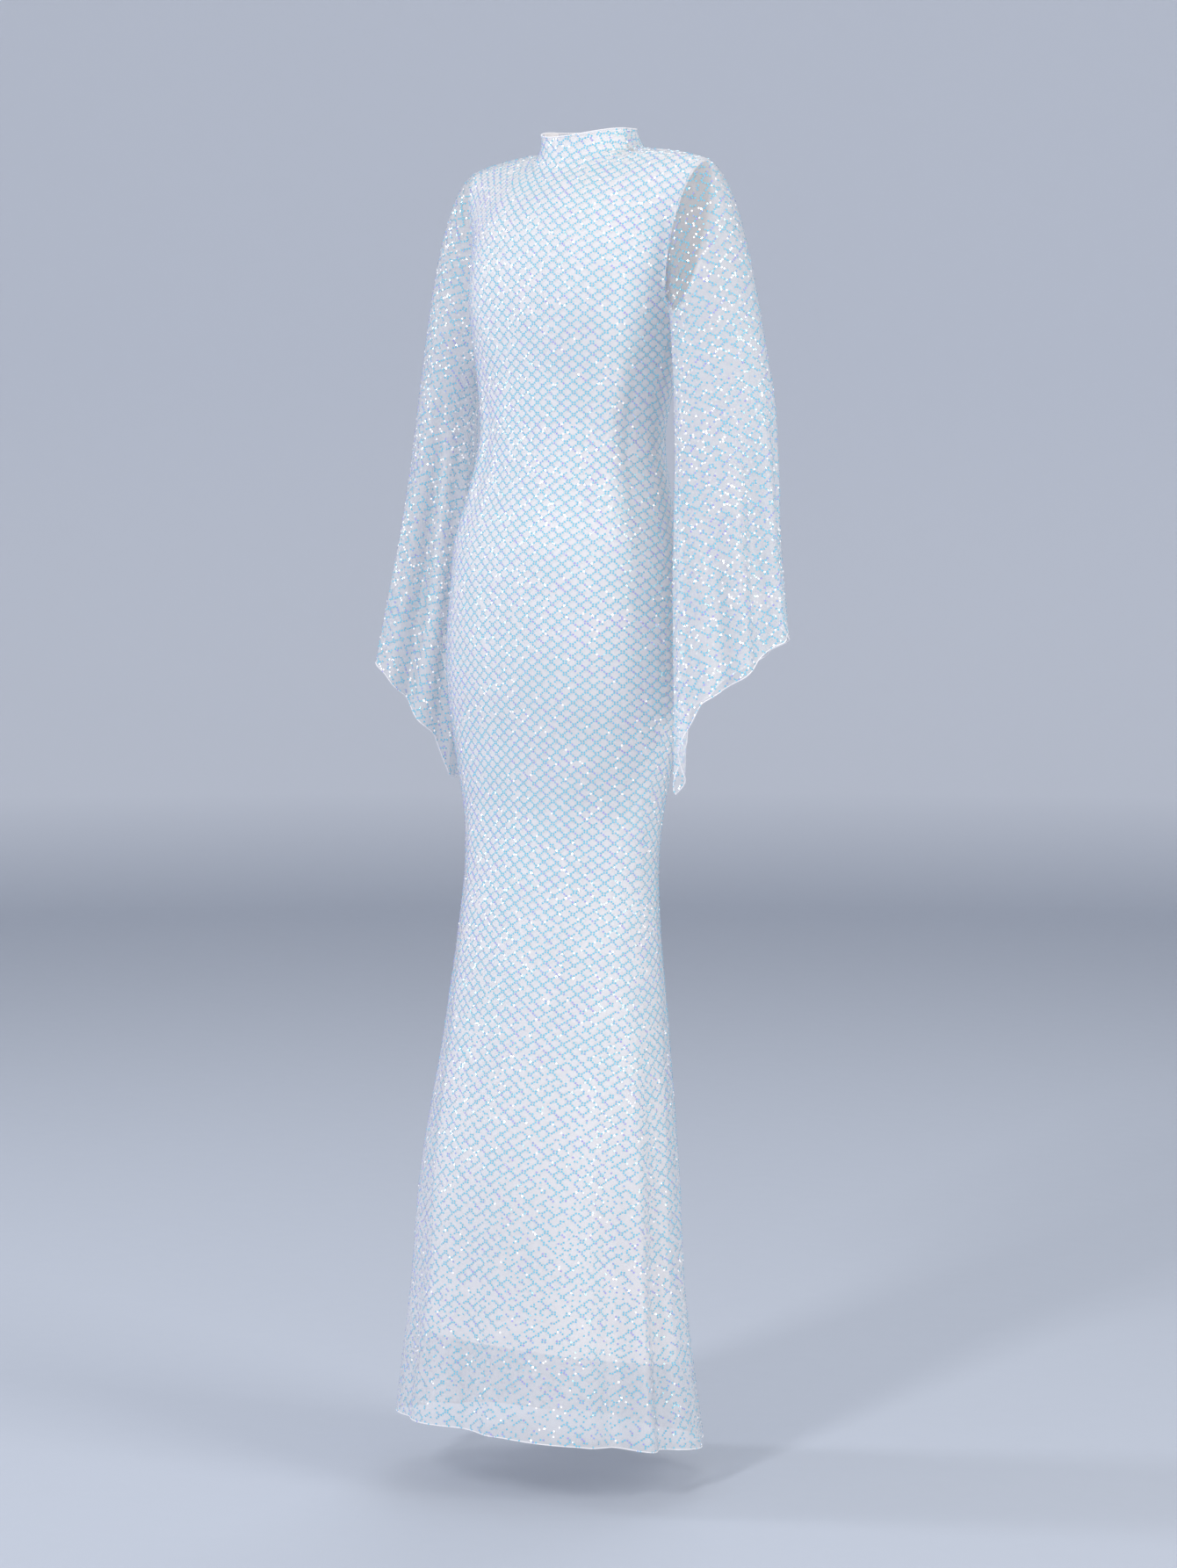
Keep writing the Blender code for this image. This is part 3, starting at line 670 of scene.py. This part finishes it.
def net_material(name, colour, cover, pitch):
    """Stretch net: fine crossed threads, part of the light passing between them."""
    material, nodes, shader = new_material(name)
    if nodes is None:
        return material
    place = nodes.add("ShaderNodeUVMap", uv_map="cut").outputs[0]
    cut = nodes.add("ShaderNodeSeparateXYZ", {0: place}).outputs
    turned = [nodes.math(operation, cut[0], cut[1]) for operation in ("ADD", "SUBTRACT")]
    threads = [nodes.math("ABSOLUTE", nodes.math("SINE", nodes.math("MULTIPLY", way, math.pi / pitch)))
               for way in turned]
    weave = nodes.math("MULTIPLY", *threads)
    shade(nodes, shader, {
        "Base Color": clouded(nodes, place, colour, 22.0, 3.0, 0.94, 1.05),
        "Alpha": nodes.spread(weave, min(cover * 1.35, 1.0), cover * 0.72),
        "Normal": bumped(nodes, weave, 0.25, 0.0004),
        "Roughness": 0.55, "Sheen Weight": 0.25, "Sheen Roughness": 0.4})
    return material


def lining_material(name, colour):
    """Plain matt lining with a fine woven face."""
    material, nodes, shader = new_material(name)
    if nodes is None:
        return material
    place = nodes.add("ShaderNodeUVMap", uv_map="cut").outputs[0]
    shade(nodes, shader, {
        "Base Color": clouded(nodes, place, colour, 14.0, 4.0, 0.95, 1.03),
        "Normal": bumped(nodes, nodes.noise(place, 2200.0, 1.0), 0.15, 0.0003),
        "Roughness": 0.75})
    return material


def sequin_material(name, colours):
    """Thin-film discs: most are cyan, some violet, some clear, and a few carry a painted glint: white, with
    an emission glow of their own that stands in for the reflection of the lamps.
    """
    material, nodes, shader = new_material(name)
    if nodes is None:
        return material
    tint = nodes.add("ShaderNodeAttribute", attribute_name="tint", attribute_type="GEOMETRY").outputs["Fac"]
    ramp = nodes.add("ShaderNodeValToRGB", {"Fac": tint})
    # The last stop, at tint 1, is the painted glint: white, and it glows through the emission below.
    stops = ((0.0, colours.cyan), (0.38, colours.cyan), (0.50, colours.violet), (0.62, colours.violet),
             (0.70, colours.pale), (0.93, colours.pale), (0.95, colours.painted_glint))
    band = ramp.color_ramp
    band.elements[0].position, band.elements[0].color = stops[0][0], (*stops[0][1], 1.0)
    band.elements[1].position, band.elements[1].color = stops[-1][0], (*stops[-1][1], 1.0)
    for position, colour in stops[1:-1]:
        band.elements.new(position).color = (*colour, 1.0)
    # The painted glint's glow, for tint 1 only.
    painted_glints = nodes.spread(tint, 0.0, 1.0, 0.94, 0.99)
    shade(nodes, shader, {
        "Base Color": ramp.outputs[0],
        "Emission Color": nodes.mix(painted_glints, (0.0, 0.0, 0.0, 1.0), (*colours.painted_glint, 1.0)),
        "Emission Strength": 0.5, "Roughness": 0.09, "Specular IOR Level": 0.8,
        "Coat Weight": 0.7, "Coat Roughness": 0.04, "Thin Film Thickness": 400.0, "Thin Film IOR": 1.8})
    return material


def plain_material(name, colour, roughness=0.6, metallic=0.0, grain=900.0):
    """A plain finish with a fine grain on Object coordinates."""
    material, nodes, shader = new_material(name)
    if nodes is None:
        return material
    noise = nodes.noise(nodes.add("ShaderNodeTexCoord").outputs["Object"], grain, 2.0)
    shade(nodes, shader, {
        "Roughness": nodes.spread(noise, roughness * 0.8, min(roughness * 1.2, 1.0)),
        "Normal": bumped(nodes, noise, 0.1, 0.0002),
        "Base Color": (*colour, 1.0), "Metallic": metallic})
    return material


# ---------------------------------------------------------------- sequins


SEQUIN_INPUTS = (
    ("Across", "Float"), ("Up", "Float"), ("Columns", "Int"), ("Rows", "Int"), ("Middle", "Vector"),
    ("Disc", "Float"), ("Stand", "Float"), ("Tilt", "Float"), ("Gaps", "Float"), ("Hem gaps", "Float"),
    ("Painted glints", "Float"), ("Seed", "Int"), ("Material", "Material"))


def sequin_tree():
    """Sets sequins out along a diamond lattice on a panel's flat cut and lays them on the panel."""
    tree = bpy.data.node_groups.get("Sequins on the cut")
    if tree:
        return tree
    tree = bpy.data.node_groups.new("Sequins on the cut", "GeometryNodeTree")
    face = tree.interface
    face.new_socket("Panel", in_out="INPUT", socket_type="NodeSocketGeometry")
    for name, kind in SEQUIN_INPUTS:
        face.new_socket(name, in_out="INPUT", socket_type="NodeSocket" + kind)
    face.new_socket("Sequins", in_out="OUTPUT", socket_type="NodeSocketGeometry")
    nodes = Nodes(tree)
    given = nodes.add("NodeGroupInput").outputs
    points = lattice_points(nodes, given)
    points, cloth = laid_on_cloth(nodes, given, points)
    made = discs(nodes, given, tinted(nodes, given, points, cloth))
    nodes.add("NodeGroupOutput", {0: made})
    return tree


def lattice_points(nodes, given):
    """The sequins' places on the flat cut, kept with the way that each one's side of a diamond runs.

    Each corner of the lattice has twelve sequins: two sides of the diamond that stands on it, with
    three sequins to a side, and the same for the diamond half a step on.
    """
    calc = nodes.math
    grid = nodes.add("GeometryNodeMeshGrid", {
        "Size X": calc("MULTIPLY", given["Across"], calc("SUBTRACT", given["Columns"], 1.0)),
        "Size Y": calc("MULTIPLY", given["Up"], calc("SUBTRACT", given["Rows"], 1.0)),
        "Vertices X": given["Columns"], "Vertices Y": given["Rows"]})
    dots = nodes.add("GeometryNodeMeshToPoints", {"Mesh": grid.outputs["Mesh"]})
    many = nodes.add("GeometryNodeDuplicateElements", {"Geometry": dots.outputs[0], "Amount": 12},
                     domain="POINT")
    turn = many.outputs["Duplicate Index"]
    here = nodes.add("ShaderNodeSeparateXYZ", {0: nodes.add("GeometryNodeInputPosition").outputs[0]})
    half = calc("FLOOR", calc("DIVIDE", turn, 6.0))
    way = calc("MODULO", calc("FLOOR", calc("DIVIDE", turn, 3.0)), 2.0)
    sign = calc("SUBTRACT", 1.0, calc("MULTIPLY", way, 2.0))
    step = calc("MULTIPLY_ADD", calc("MODULO", turn, 3.0), SIDE_STEP, SIDE_START)
    half_across, half_up = (calc("MULTIPLY", given[size], 0.5) for size in ("Across", "Up"))
    across = calc("MULTIPLY_ADD", calc("MULTIPLY_ADD", sign, step, half), half_across, here.outputs[0])
    up = calc("MULTIPLY_ADD", calc("ADD", half, step), half_up, here.outputs[1])
    centred = nodes.add("ShaderNodeCombineXYZ", {0: across, 1: up})
    place = nodes.add("ShaderNodeVectorMath", {0: centred.outputs[0], 1: given["Middle"]},
                      operation="ADD").outputs[0]
    return nodes.store(nodes.store(many.outputs["Geometry"], "place", place), "way", way, "FLOAT")


def laid_on_cloth(nodes, given, points):
    """Moves the points on to the panel and takes out the gaps, and gives the stored place on the cut."""
    calc = nodes.math
    place, flat = nodes.stored("place"), nodes.stored("cut")
    spot, facing = (nodes.add("GeometryNodeSampleUVSurface", {
        "Mesh": given["Panel"], "Value": nodes.add("GeometryNodeInput" + value).outputs[0],
        "Source UV Map": flat, "Sample UV": place}, data_type="FLOAT_VECTOR").outputs
        for value in ("Position", "Normal"))
    # A gap shows where a slow noise and a draw for each sequin agree, and more of them towards the hem.
    lower = nodes.spread(nodes.part(spot[0], 2), given["Gaps"], given["Hem gaps"], *GAP_HEIGHTS)
    mixed = calc("MULTIPLY_ADD", drawn(nodes, given["Seed"]), 0.45,
                 calc("MULTIPLY", nodes.noise(place, 160.0, 0.0), 0.55))
    off = nodes.add("FunctionNodeBooleanMath", {0: spot["Is Valid"]}, operation="NOT").outputs[0]
    gone = nodes.add("FunctionNodeBooleanMath", {0: off, 1: less(nodes, mixed, lower)},
                     operation="OR").outputs[0]
    points = nodes.store(nodes.store(points, "lie", facing[0]), "gone", gone, "BOOLEAN")
    raised = nodes.add("ShaderNodeVectorMath", {0: facing[0], "Scale": given["Stand"]},
                       operation="SCALE").outputs[0]
    on_cloth = nodes.add("ShaderNodeVectorMath", {0: spot[0], 1: raised}, operation="ADD").outputs[0]
    moved = nodes.add("GeometryNodeSetPosition", {"Geometry": points, "Position": on_cloth})
    left = nodes.add("GeometryNodeDeleteGeometry", {
        "Geometry": moved.outputs[0], "Selection": nodes.stored("gone", "BOOLEAN")}, domain="POINT")
    return left.outputs[0], place


def drawn(nodes, seed):
    """A number between 0 and 1, drawn for each sequin."""
    return nodes.add("FunctionNodeRandomValue", {"Seed": seed}, data_type="FLOAT").outputs[1]


def less(nodes, first, second):
    return nodes.add("FunctionNodeCompare", {0: first, 1: second}, data_type="FLOAT",
                     operation="LESS_THAN").outputs[0]


def tinted(nodes, given, points, place):
    """Stores a tint: neighbours share it, the two ways of the lattice differ, and 1 is a painted glint."""
    calc = nodes.math
    patch, wave = nodes.noise(place, 55.0, 2.0), nodes.noise(place, 11.0, 2.0)
    own, way = drawn(nodes, calc("ADD", given["Seed"], 3.0)), nodes.stored("way", "FLOAT")
    tint = calc("ADD", calc("MULTIPLY_ADD", patch, 0.62, calc("MULTIPLY", wave, 0.28)),
                calc("MULTIPLY_ADD", own, 0.22, calc("MULTIPLY_ADD", way, 0.15, -0.33)))
    # Painted iridescence: sequins on cloth that faces -X lean to violet, standing in for the thin film's
    # violet sheen where the cloth turns away at a grazing angle. The tint is fixed and doesn't change with
    # the view.
    aside = nodes.spread(nodes.part(nodes.stored("lie"), 0), 0.0, 0.24, -0.15, -0.8)
    calm = nodes.add("ShaderNodeClamp", {
        "Value": calc("ADD", tint, aside), "Min": 0.0, "Max": 0.92}).outputs[0]
    # Painted glints: a share of the sequins, more where the slow wave is high, get tint 1, white and
    # glowing.
    limit = calc("MULTIPLY", given["Painted glints"], calc("POWER", calc("MULTIPLY", wave, 1.8), 3.0))
    has_painted_glint = less(nodes, drawn(nodes, calc("ADD", given["Seed"], 5.0)), limit)
    final = nodes.add("GeometryNodeSwitch", {"Switch": has_painted_glint, "False": calm, "True": 1.0},
                      input_type="FLOAT").outputs[0]
    return nodes.store(points, "tint", final, "FLOAT")


def discs(nodes, given, points):
    """A disc on each point, lying on the cloth with a lean of its own."""
    disc = nodes.add("GeometryNodeMeshCircle", {
        "Vertices": 6, "Radius": nodes.math("MULTIPLY", given["Disc"], 0.5)}, fill_type="NGON")
    upright = nodes.add("FunctionNodeAlignRotationToVector", {"Vector": nodes.stored("lie")}, axis="Z")
    back = nodes.math("MULTIPLY", given["Tilt"], -1.0)
    low = nodes.add("ShaderNodeCombineXYZ", {0: back, 1: back, 2: 0.0})
    high = nodes.add("ShaderNodeCombineXYZ", {0: given["Tilt"], 1: given["Tilt"], 2: math.pi})
    lean = nodes.add("FunctionNodeRandomValue", {
        "Min": low.outputs[0], "Max": high.outputs[0],
        "Seed": nodes.math("ADD", given["Seed"], 9.0)}, data_type="FLOAT_VECTOR").outputs[0]
    lean = nodes.add("FunctionNodeEulerToRotation", {0: lean}).outputs[0]
    turned = nodes.add("FunctionNodeRotateRotation", {0: upright.outputs[0], 1: lean},
                       rotation_space="LOCAL").outputs[0]
    laid = nodes.add("GeometryNodeInstanceOnPoints", {
        "Points": points, "Instance": disc.outputs["Mesh"], "Rotation": turned})
    real = nodes.add("GeometryNodeRealizeInstances", {"Geometry": laid.outputs[0]})
    return nodes.add("GeometryNodeSetMaterial", {
        "Geometry": real.outputs[0], "Material": given["Material"]}).outputs[0]


def sew_sequins(name, panel, sizes, material, gaps, hem_gaps, painted_glints, seed):
    """Runs the sequin tree on a panel and keeps the result as a plain mesh."""
    flat = flat_cut(panel.data)
    low, high = flat.min(0), flat.max(0)
    steps = np.array((sizes.lattice_across, sizes.lattice_up))
    counts = np.ceil((high - low) / steps).astype(int) + 4
    centre = np.round((low + high) / 2 / steps) * steps
    base = bpy.data.objects.new(name, panel.data)
    bpy.context.scene.collection.objects.link(base)
    tree = sequin_tree()
    maker = base.modifiers.new("Sequins", "NODES")
    maker.node_group = tree
    values = {"Across": sizes.lattice_across, "Up": sizes.lattice_up,
              "Columns": int(counts[0]) | 1, "Rows": int(counts[1]) | 1,
              "Middle": (centre[0], centre[1], 0.0), "Disc": sizes.sequin_across,
              "Stand": sizes.sequin_stand, "Tilt": sizes.sequin_tilt, "Gaps": gaps,
              "Hem gaps": hem_gaps, "Painted glints": painted_glints, "Seed": sizes.seed + seed, "Material": material}
    for item in tree.interface.items_tree:
        if item.in_out == "INPUT" and item.name in values:
            maker[item.identifier] = values[item.name]
    bpy.context.view_layer.update()
    shaped = base.evaluated_get(bpy.context.evaluated_depsgraph_get())
    data = bpy.data.meshes.new_from_object(shaped)
    bpy.data.objects.remove(base)
    if len(data.polygons) < 100:
        raise RuntimeError(f"{name} has only {len(data.polygons)} sequins")
    for spare in ("place", "way", "lie", "gone"):
        layer = data.attributes.get(spare)
        if layer:
            data.attributes.remove(layer)
    data.name = name
    piece = bpy.data.objects.new(name, data)
    bpy.context.scene.collection.objects.link(piece)
    return piece


# ---------------------------------------------------------------- backdrop


def make_backdrop(colours):
    """A round floor that bends up into a wall, with the dress, the camera and the lights inside it."""
    paper = plain_material("backdrop", colours.backdrop, 0.9, 0.0, 30.0)
    nodes = Nodes(paper.node_tree)
    height = nodes.part(nodes.add("ShaderNodeTexCoord").outputs["Object"], 2)
    low = nodes.spread(height, 0.0, 1.0, *WALL_FADE)
    fade = nodes.mix(low, (*colours.backdrop, 1.0), (*colours.floor, 1.0))
    nodes.give(paper.node_tree.nodes["Principled BSDF"].inputs["Base Color"], fade)
    profile = [(ring, FLOOR) for ring in FLOOR_RINGS]
    profile += [(REACH + BEND * math.sin(turn), FLOOR + BEND - BEND * math.cos(turn))
                for turn in np.radians(np.arange(6, 91, 6))]
    profile += [(REACH + BEND, FLOOR + WALL)]
    verts, faces = [(0.0, 0.0, FLOOR)], []
    for wide, z in profile:
        for k in range(BACKDROP_TURNS):
            turn = 2 * math.pi * k / BACKDROP_TURNS
            verts.append((wide * math.cos(turn), wide * math.sin(turn), z))
    for k in range(BACKDROP_TURNS):
        after = (k + 1) % BACKDROP_TURNS
        faces.append((0, 1 + k, 1 + after))
        for ring in range(len(profile) - 1):
            low, high = 1 + ring * BACKDROP_TURNS, 1 + (ring + 1) * BACKDROP_TURNS
            faces.append((low + k, high + k, high + after, low + after))
    return new_piece("backdrop", verts, faces, paper)


# ---------------------------------------------------------------- operators


PANELS = {}  # the finished cloth sheets by name
EDGES = {}  # runs of points along their open edges


class DRESS_OT_net_body(bpy.types.Operator):
    """Make the net front and the two net backs, each cut in one with its part of the collar"""
    bl_idname = "dress.net_body"
    bl_label = "Net body"

    def execute(self, context):
        sizes, colours = context.scene.dress_sizes, context.scene.dress_colours
        net = net_material("sequinned net", colours.net, sizes.net_cover, sizes.weave_pitch)
        waist = round((WAIST - HEM_MIDDLE) / ROW_STEP)
        front = front_panel()
        middle = len(front) // 2
        cut = cut_of(front[middle::-1], waist, -1)[::-1] + cut_of(front[middle:], waist)[1:]
        PANELS["front"] = sheet("net_front", front, cut, net)
        settled(PANELS["front"])
        finish_piece(PANELS["front"], DRESS, "net", "front")
        ends = {"front": front}
        for name, side in (("back_left", 1), ("back_right", -1)):
            back = back_panel(side)
            PANELS[name] = sheet("net_" + name, back, cut_of(back, waist, -side), net, flip=side > 0)
            settled(PANELS[name])
            finish_piece(PANELS[name], DRESS, "net", name)
            ends[name] = back
        EDGES["hem"] = ([c[0] for c in ends["front"]] + [c[0] for c in ends["back_left"][-2::-1]]
                        + [c[0] for c in ends["back_right"][1:-1]])
        collar = NECK_COLUMN * FINE
        EDGES["collar_front"] = [c[-1] for c in ends["front"][middle - collar:middle + collar + 1]]
        for name, side in (("back_left", 1), ("back_right", -1)):
            EDGES["centre_" + name] = [point + (side * EDGE_ASIDE, 0, 0) for point in ends[name][0]
                                       if point[2] > ZIP_FOOT]
            EDGES["collar_" + name] = [c[-1] for c in ends[name][:collar + 1]]
        return {"FINISHED"}


class DRESS_OT_net_sleeves(bpy.types.Operator):
    """Make the two bell sleeves of sequinned net"""
    bl_idname = "dress.net_sleeves"
    bl_label = "Net sleeves"

    def execute(self, context):
        sizes, colours = context.scene.dress_sizes, context.scene.dress_colours
        # The sleeves take the greyer copy of the net colour, which is painted shade.
        net = net_material("sleeve net", colours.sleeve_net, sizes.net_cover * 0.9, sizes.weave_pitch)
        for name, side, cuff, creases in (("sleeve_left", 1, CUFF_LEFT, CREASES_LEFT),
                                          ("sleeve_right", -1, CUFF_RIGHT, CREASES_RIGHT)):
            columns = [[point * (side, 1, 1) for point in column]
                       for column in sleeve_columns(cuff, creases)]
            cut = cut_of(columns, CAP_ROWS)
            cut = [[(u, -v) for u, v in places] for places in cut]
            PANELS[name] = sheet("net_" + name, columns, cut, net, flip=side < 0)
            settled(PANELS[name])
            finish_piece(PANELS[name], DRESS, "sleeve_net", name)
            EDGES["cuff_" + name] = [column[-1] for column in columns[:-1]]
        return {"FINISHED"}


class DRESS_OT_lining(bpy.types.Operator):
    """Make the three pieces of the plain lining"""
    bl_idname = "dress.lining"
    bl_label = "Lining"

    def execute(self, context):
        colours = context.scene.dress_colours
        cloth = lining_material("plain lining", colours.lining)
        front = front_panel(LINING_SHORTER, True)
        middle = len(front) // 2
        right, left = (moved_in(half, LINING_INSET) for half in (front[middle::-1], front[middle:]))
        cut = cut_of(right, 0, -1)[::-1] + cut_of(left, 0)[1:]
        PANELS["lining_front"] = sheet("inner_front", right[::-1] + left[1:], cut, cloth)
        finish_piece(PANELS["lining_front"], DRESS, "lining", "lining_front")
        for name, side in (("lining_back_left", 1), ("lining_back_right", -1)):
            columns = moved_in(back_panel(side, LINING_SHORTER, True), LINING_INSET)
            inner = "inner_" + name.removeprefix("lining_")
            PANELS[name] = sheet(inner, columns, cut_of(columns, 0, -side), cloth, flip=side > 0)
            finish_piece(PANELS[name], DRESS, "lining", name)
        return {"FINISHED"}


class DRESS_OT_sequins(bpy.types.Operator):
    """Sew the sequins on the net panels and sleeves"""
    bl_idname = "dress.sequins"
    bl_label = "Sequins"

    def execute(self, context):
        sizes, colours = context.scene.dress_sizes, context.scene.dress_colours
        foil = sequin_material("iridescent sequins", colours)
        for seed, (name, sewing) in enumerate(SEWING.items()):
            piece = sew_sequins("sequins_" + name, PANELS[name], sizes, foil, *sewing, seed)
            finish_piece(piece, DRESS, "sleeve_net" if "sleeve" in name else "net")
            PANELS["sequins_" + name] = piece
        return {"FINISHED"}


class DRESS_OT_edges(bpy.types.Operator):
    """Turn the collar's top edge, and roll the hems of the skirt and the sleeves"""
    bl_idname = "dress.edges"
    bl_label = "Edges"

    def execute(self, context):
        colours = context.scene.dress_colours
        thread = plain_material("turned edge", colours.net, 0.6)
        for name, points in EDGES.items():
            closed = name == "hem" or name.startswith("cuff")
            radius = TURNED_EDGE if "collar" in name else ROLLED_HEM
            piece = tube("edge_" + name, points, radius, thread, closed)
            finish_piece(piece, DRESS, "net")
            PANELS["edge_" + name] = piece
        return {"FINISHED"}


class DRESS_OT_zip(bpy.types.Operator):
    """Finish the concealed zip: its tape, slider and pull"""
    bl_idname = "dress.zip"
    bl_label = "Zip"

    def execute(self, context):
        tape = plain_material("zip tape", (0.80, 0.80, 0.83), 0.8, 0.0, 1500.0)
        metal = plain_material("plated metal", (0.74, 0.75, 0.78), 0.25, 1.0, 600.0)
        for node, material in (("zip_tape", tape), ("zip_slider", metal), ("zip_pull", metal)):
            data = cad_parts[node].data
            if data.materials:
                data.materials[0] = material
            else:
                data.materials.append(material)
        return {"FINISHED"}


class DRESS_OT_declare(bpy.types.Operator):
    """Does nothing: each cloth piece already keeps its flat cut in its UV map"""
    bl_idname = "dress.declare"
    bl_label = "Flat cuts"

    def execute(self, context):
        return {"FINISHED"}


class DRESS_OT_stage(bpy.types.Operator):
    """Set the floor, the backdrop, the lights and the camera"""
    bl_idname = "dress.stage"
    bl_label = "Stage"

    def execute(self, context):
        scene, colours = context.scene, context.scene.dress_colours
        make_backdrop(colours)
        scene.world = bpy.data.worlds.new("studio")
        scene.world.use_nodes = True
        sky = scene.world.node_tree.nodes["Background"]
        sky.inputs["Color"].default_value = SKY_COLOUR
        sky.inputs["Strength"].default_value = SKY_STRENGTH
        for name, place, aim, size, power, colour in LIGHTS:
            light = bpy.data.lights.new(name, "AREA")
            light.shape, light.energy, light.color = "RECTANGLE", power, colour
            light.size, light.size_y = size
            lamp = bpy.data.objects.new(name, light)
            lamp.location = place
            lamp.rotation_euler = (Vector(aim) - Vector(place)).to_track_quat("-Z", "Y").to_euler()
            scene.collection.objects.link(lamp)

        camera = bpy.data.cameras.new("camera")
        camera.sensor_fit, camera.sensor_height, camera.lens = "VERTICAL", 36.0, CAMERA_LENS
        view = bpy.data.objects.new("camera", camera)
        root = math.sqrt(0.5)
        aside, distance = CAMERA_ASIDE * root, CAMERA_DISTANCE * root
        view.location = (aside + distance, DRESS_AXIS + aside - distance, CAMERA_HEIGHT)
        view.rotation_euler = (math.pi / 2 - CAMERA_TILT, 0.0, math.pi / 4)
        scene.collection.objects.link(view)
        scene.camera = view
        scene.view_settings.view_transform = "Standard"
        return {"FINISHED"}


class DRESS_PT_panel(bpy.types.Panel):
    bl_label = "Evening Dress"
    bl_space_type = "VIEW_3D"
    bl_region_type = "UI"
    bl_category = "Dress"

    def draw(self, context):
        for group in (context.scene.dress_sizes, context.scene.dress_colours):
            for name in group.__annotations__:
                self.layout.prop(group, name)
        for step in STEPS:
            self.layout.operator(step.bl_idname)


STEPS = (DRESS_OT_net_body, DRESS_OT_net_sleeves, DRESS_OT_lining, DRESS_OT_sequins, DRESS_OT_edges,
         DRESS_OT_zip, DRESS_OT_declare, DRESS_OT_stage)
CLASSES = (DressSizes, DressColours, *STEPS, DRESS_PT_panel)


def register():
    for item in CLASSES:
        bpy.utils.register_class(item)
    bpy.types.Scene.dress_sizes = PointerProperty(type=DressSizes)
    bpy.types.Scene.dress_colours = PointerProperty(type=DressColours)


def unregister():
    del bpy.types.Scene.dress_colours, bpy.types.Scene.dress_sizes
    for item in reversed(CLASSES):
        bpy.utils.unregister_class(item)


def main():
    register()
    for step in STEPS:
        getattr(bpy.ops.dress, step.bl_idname.removeprefix("dress."))()


if __name__ == "__main__":
    main()
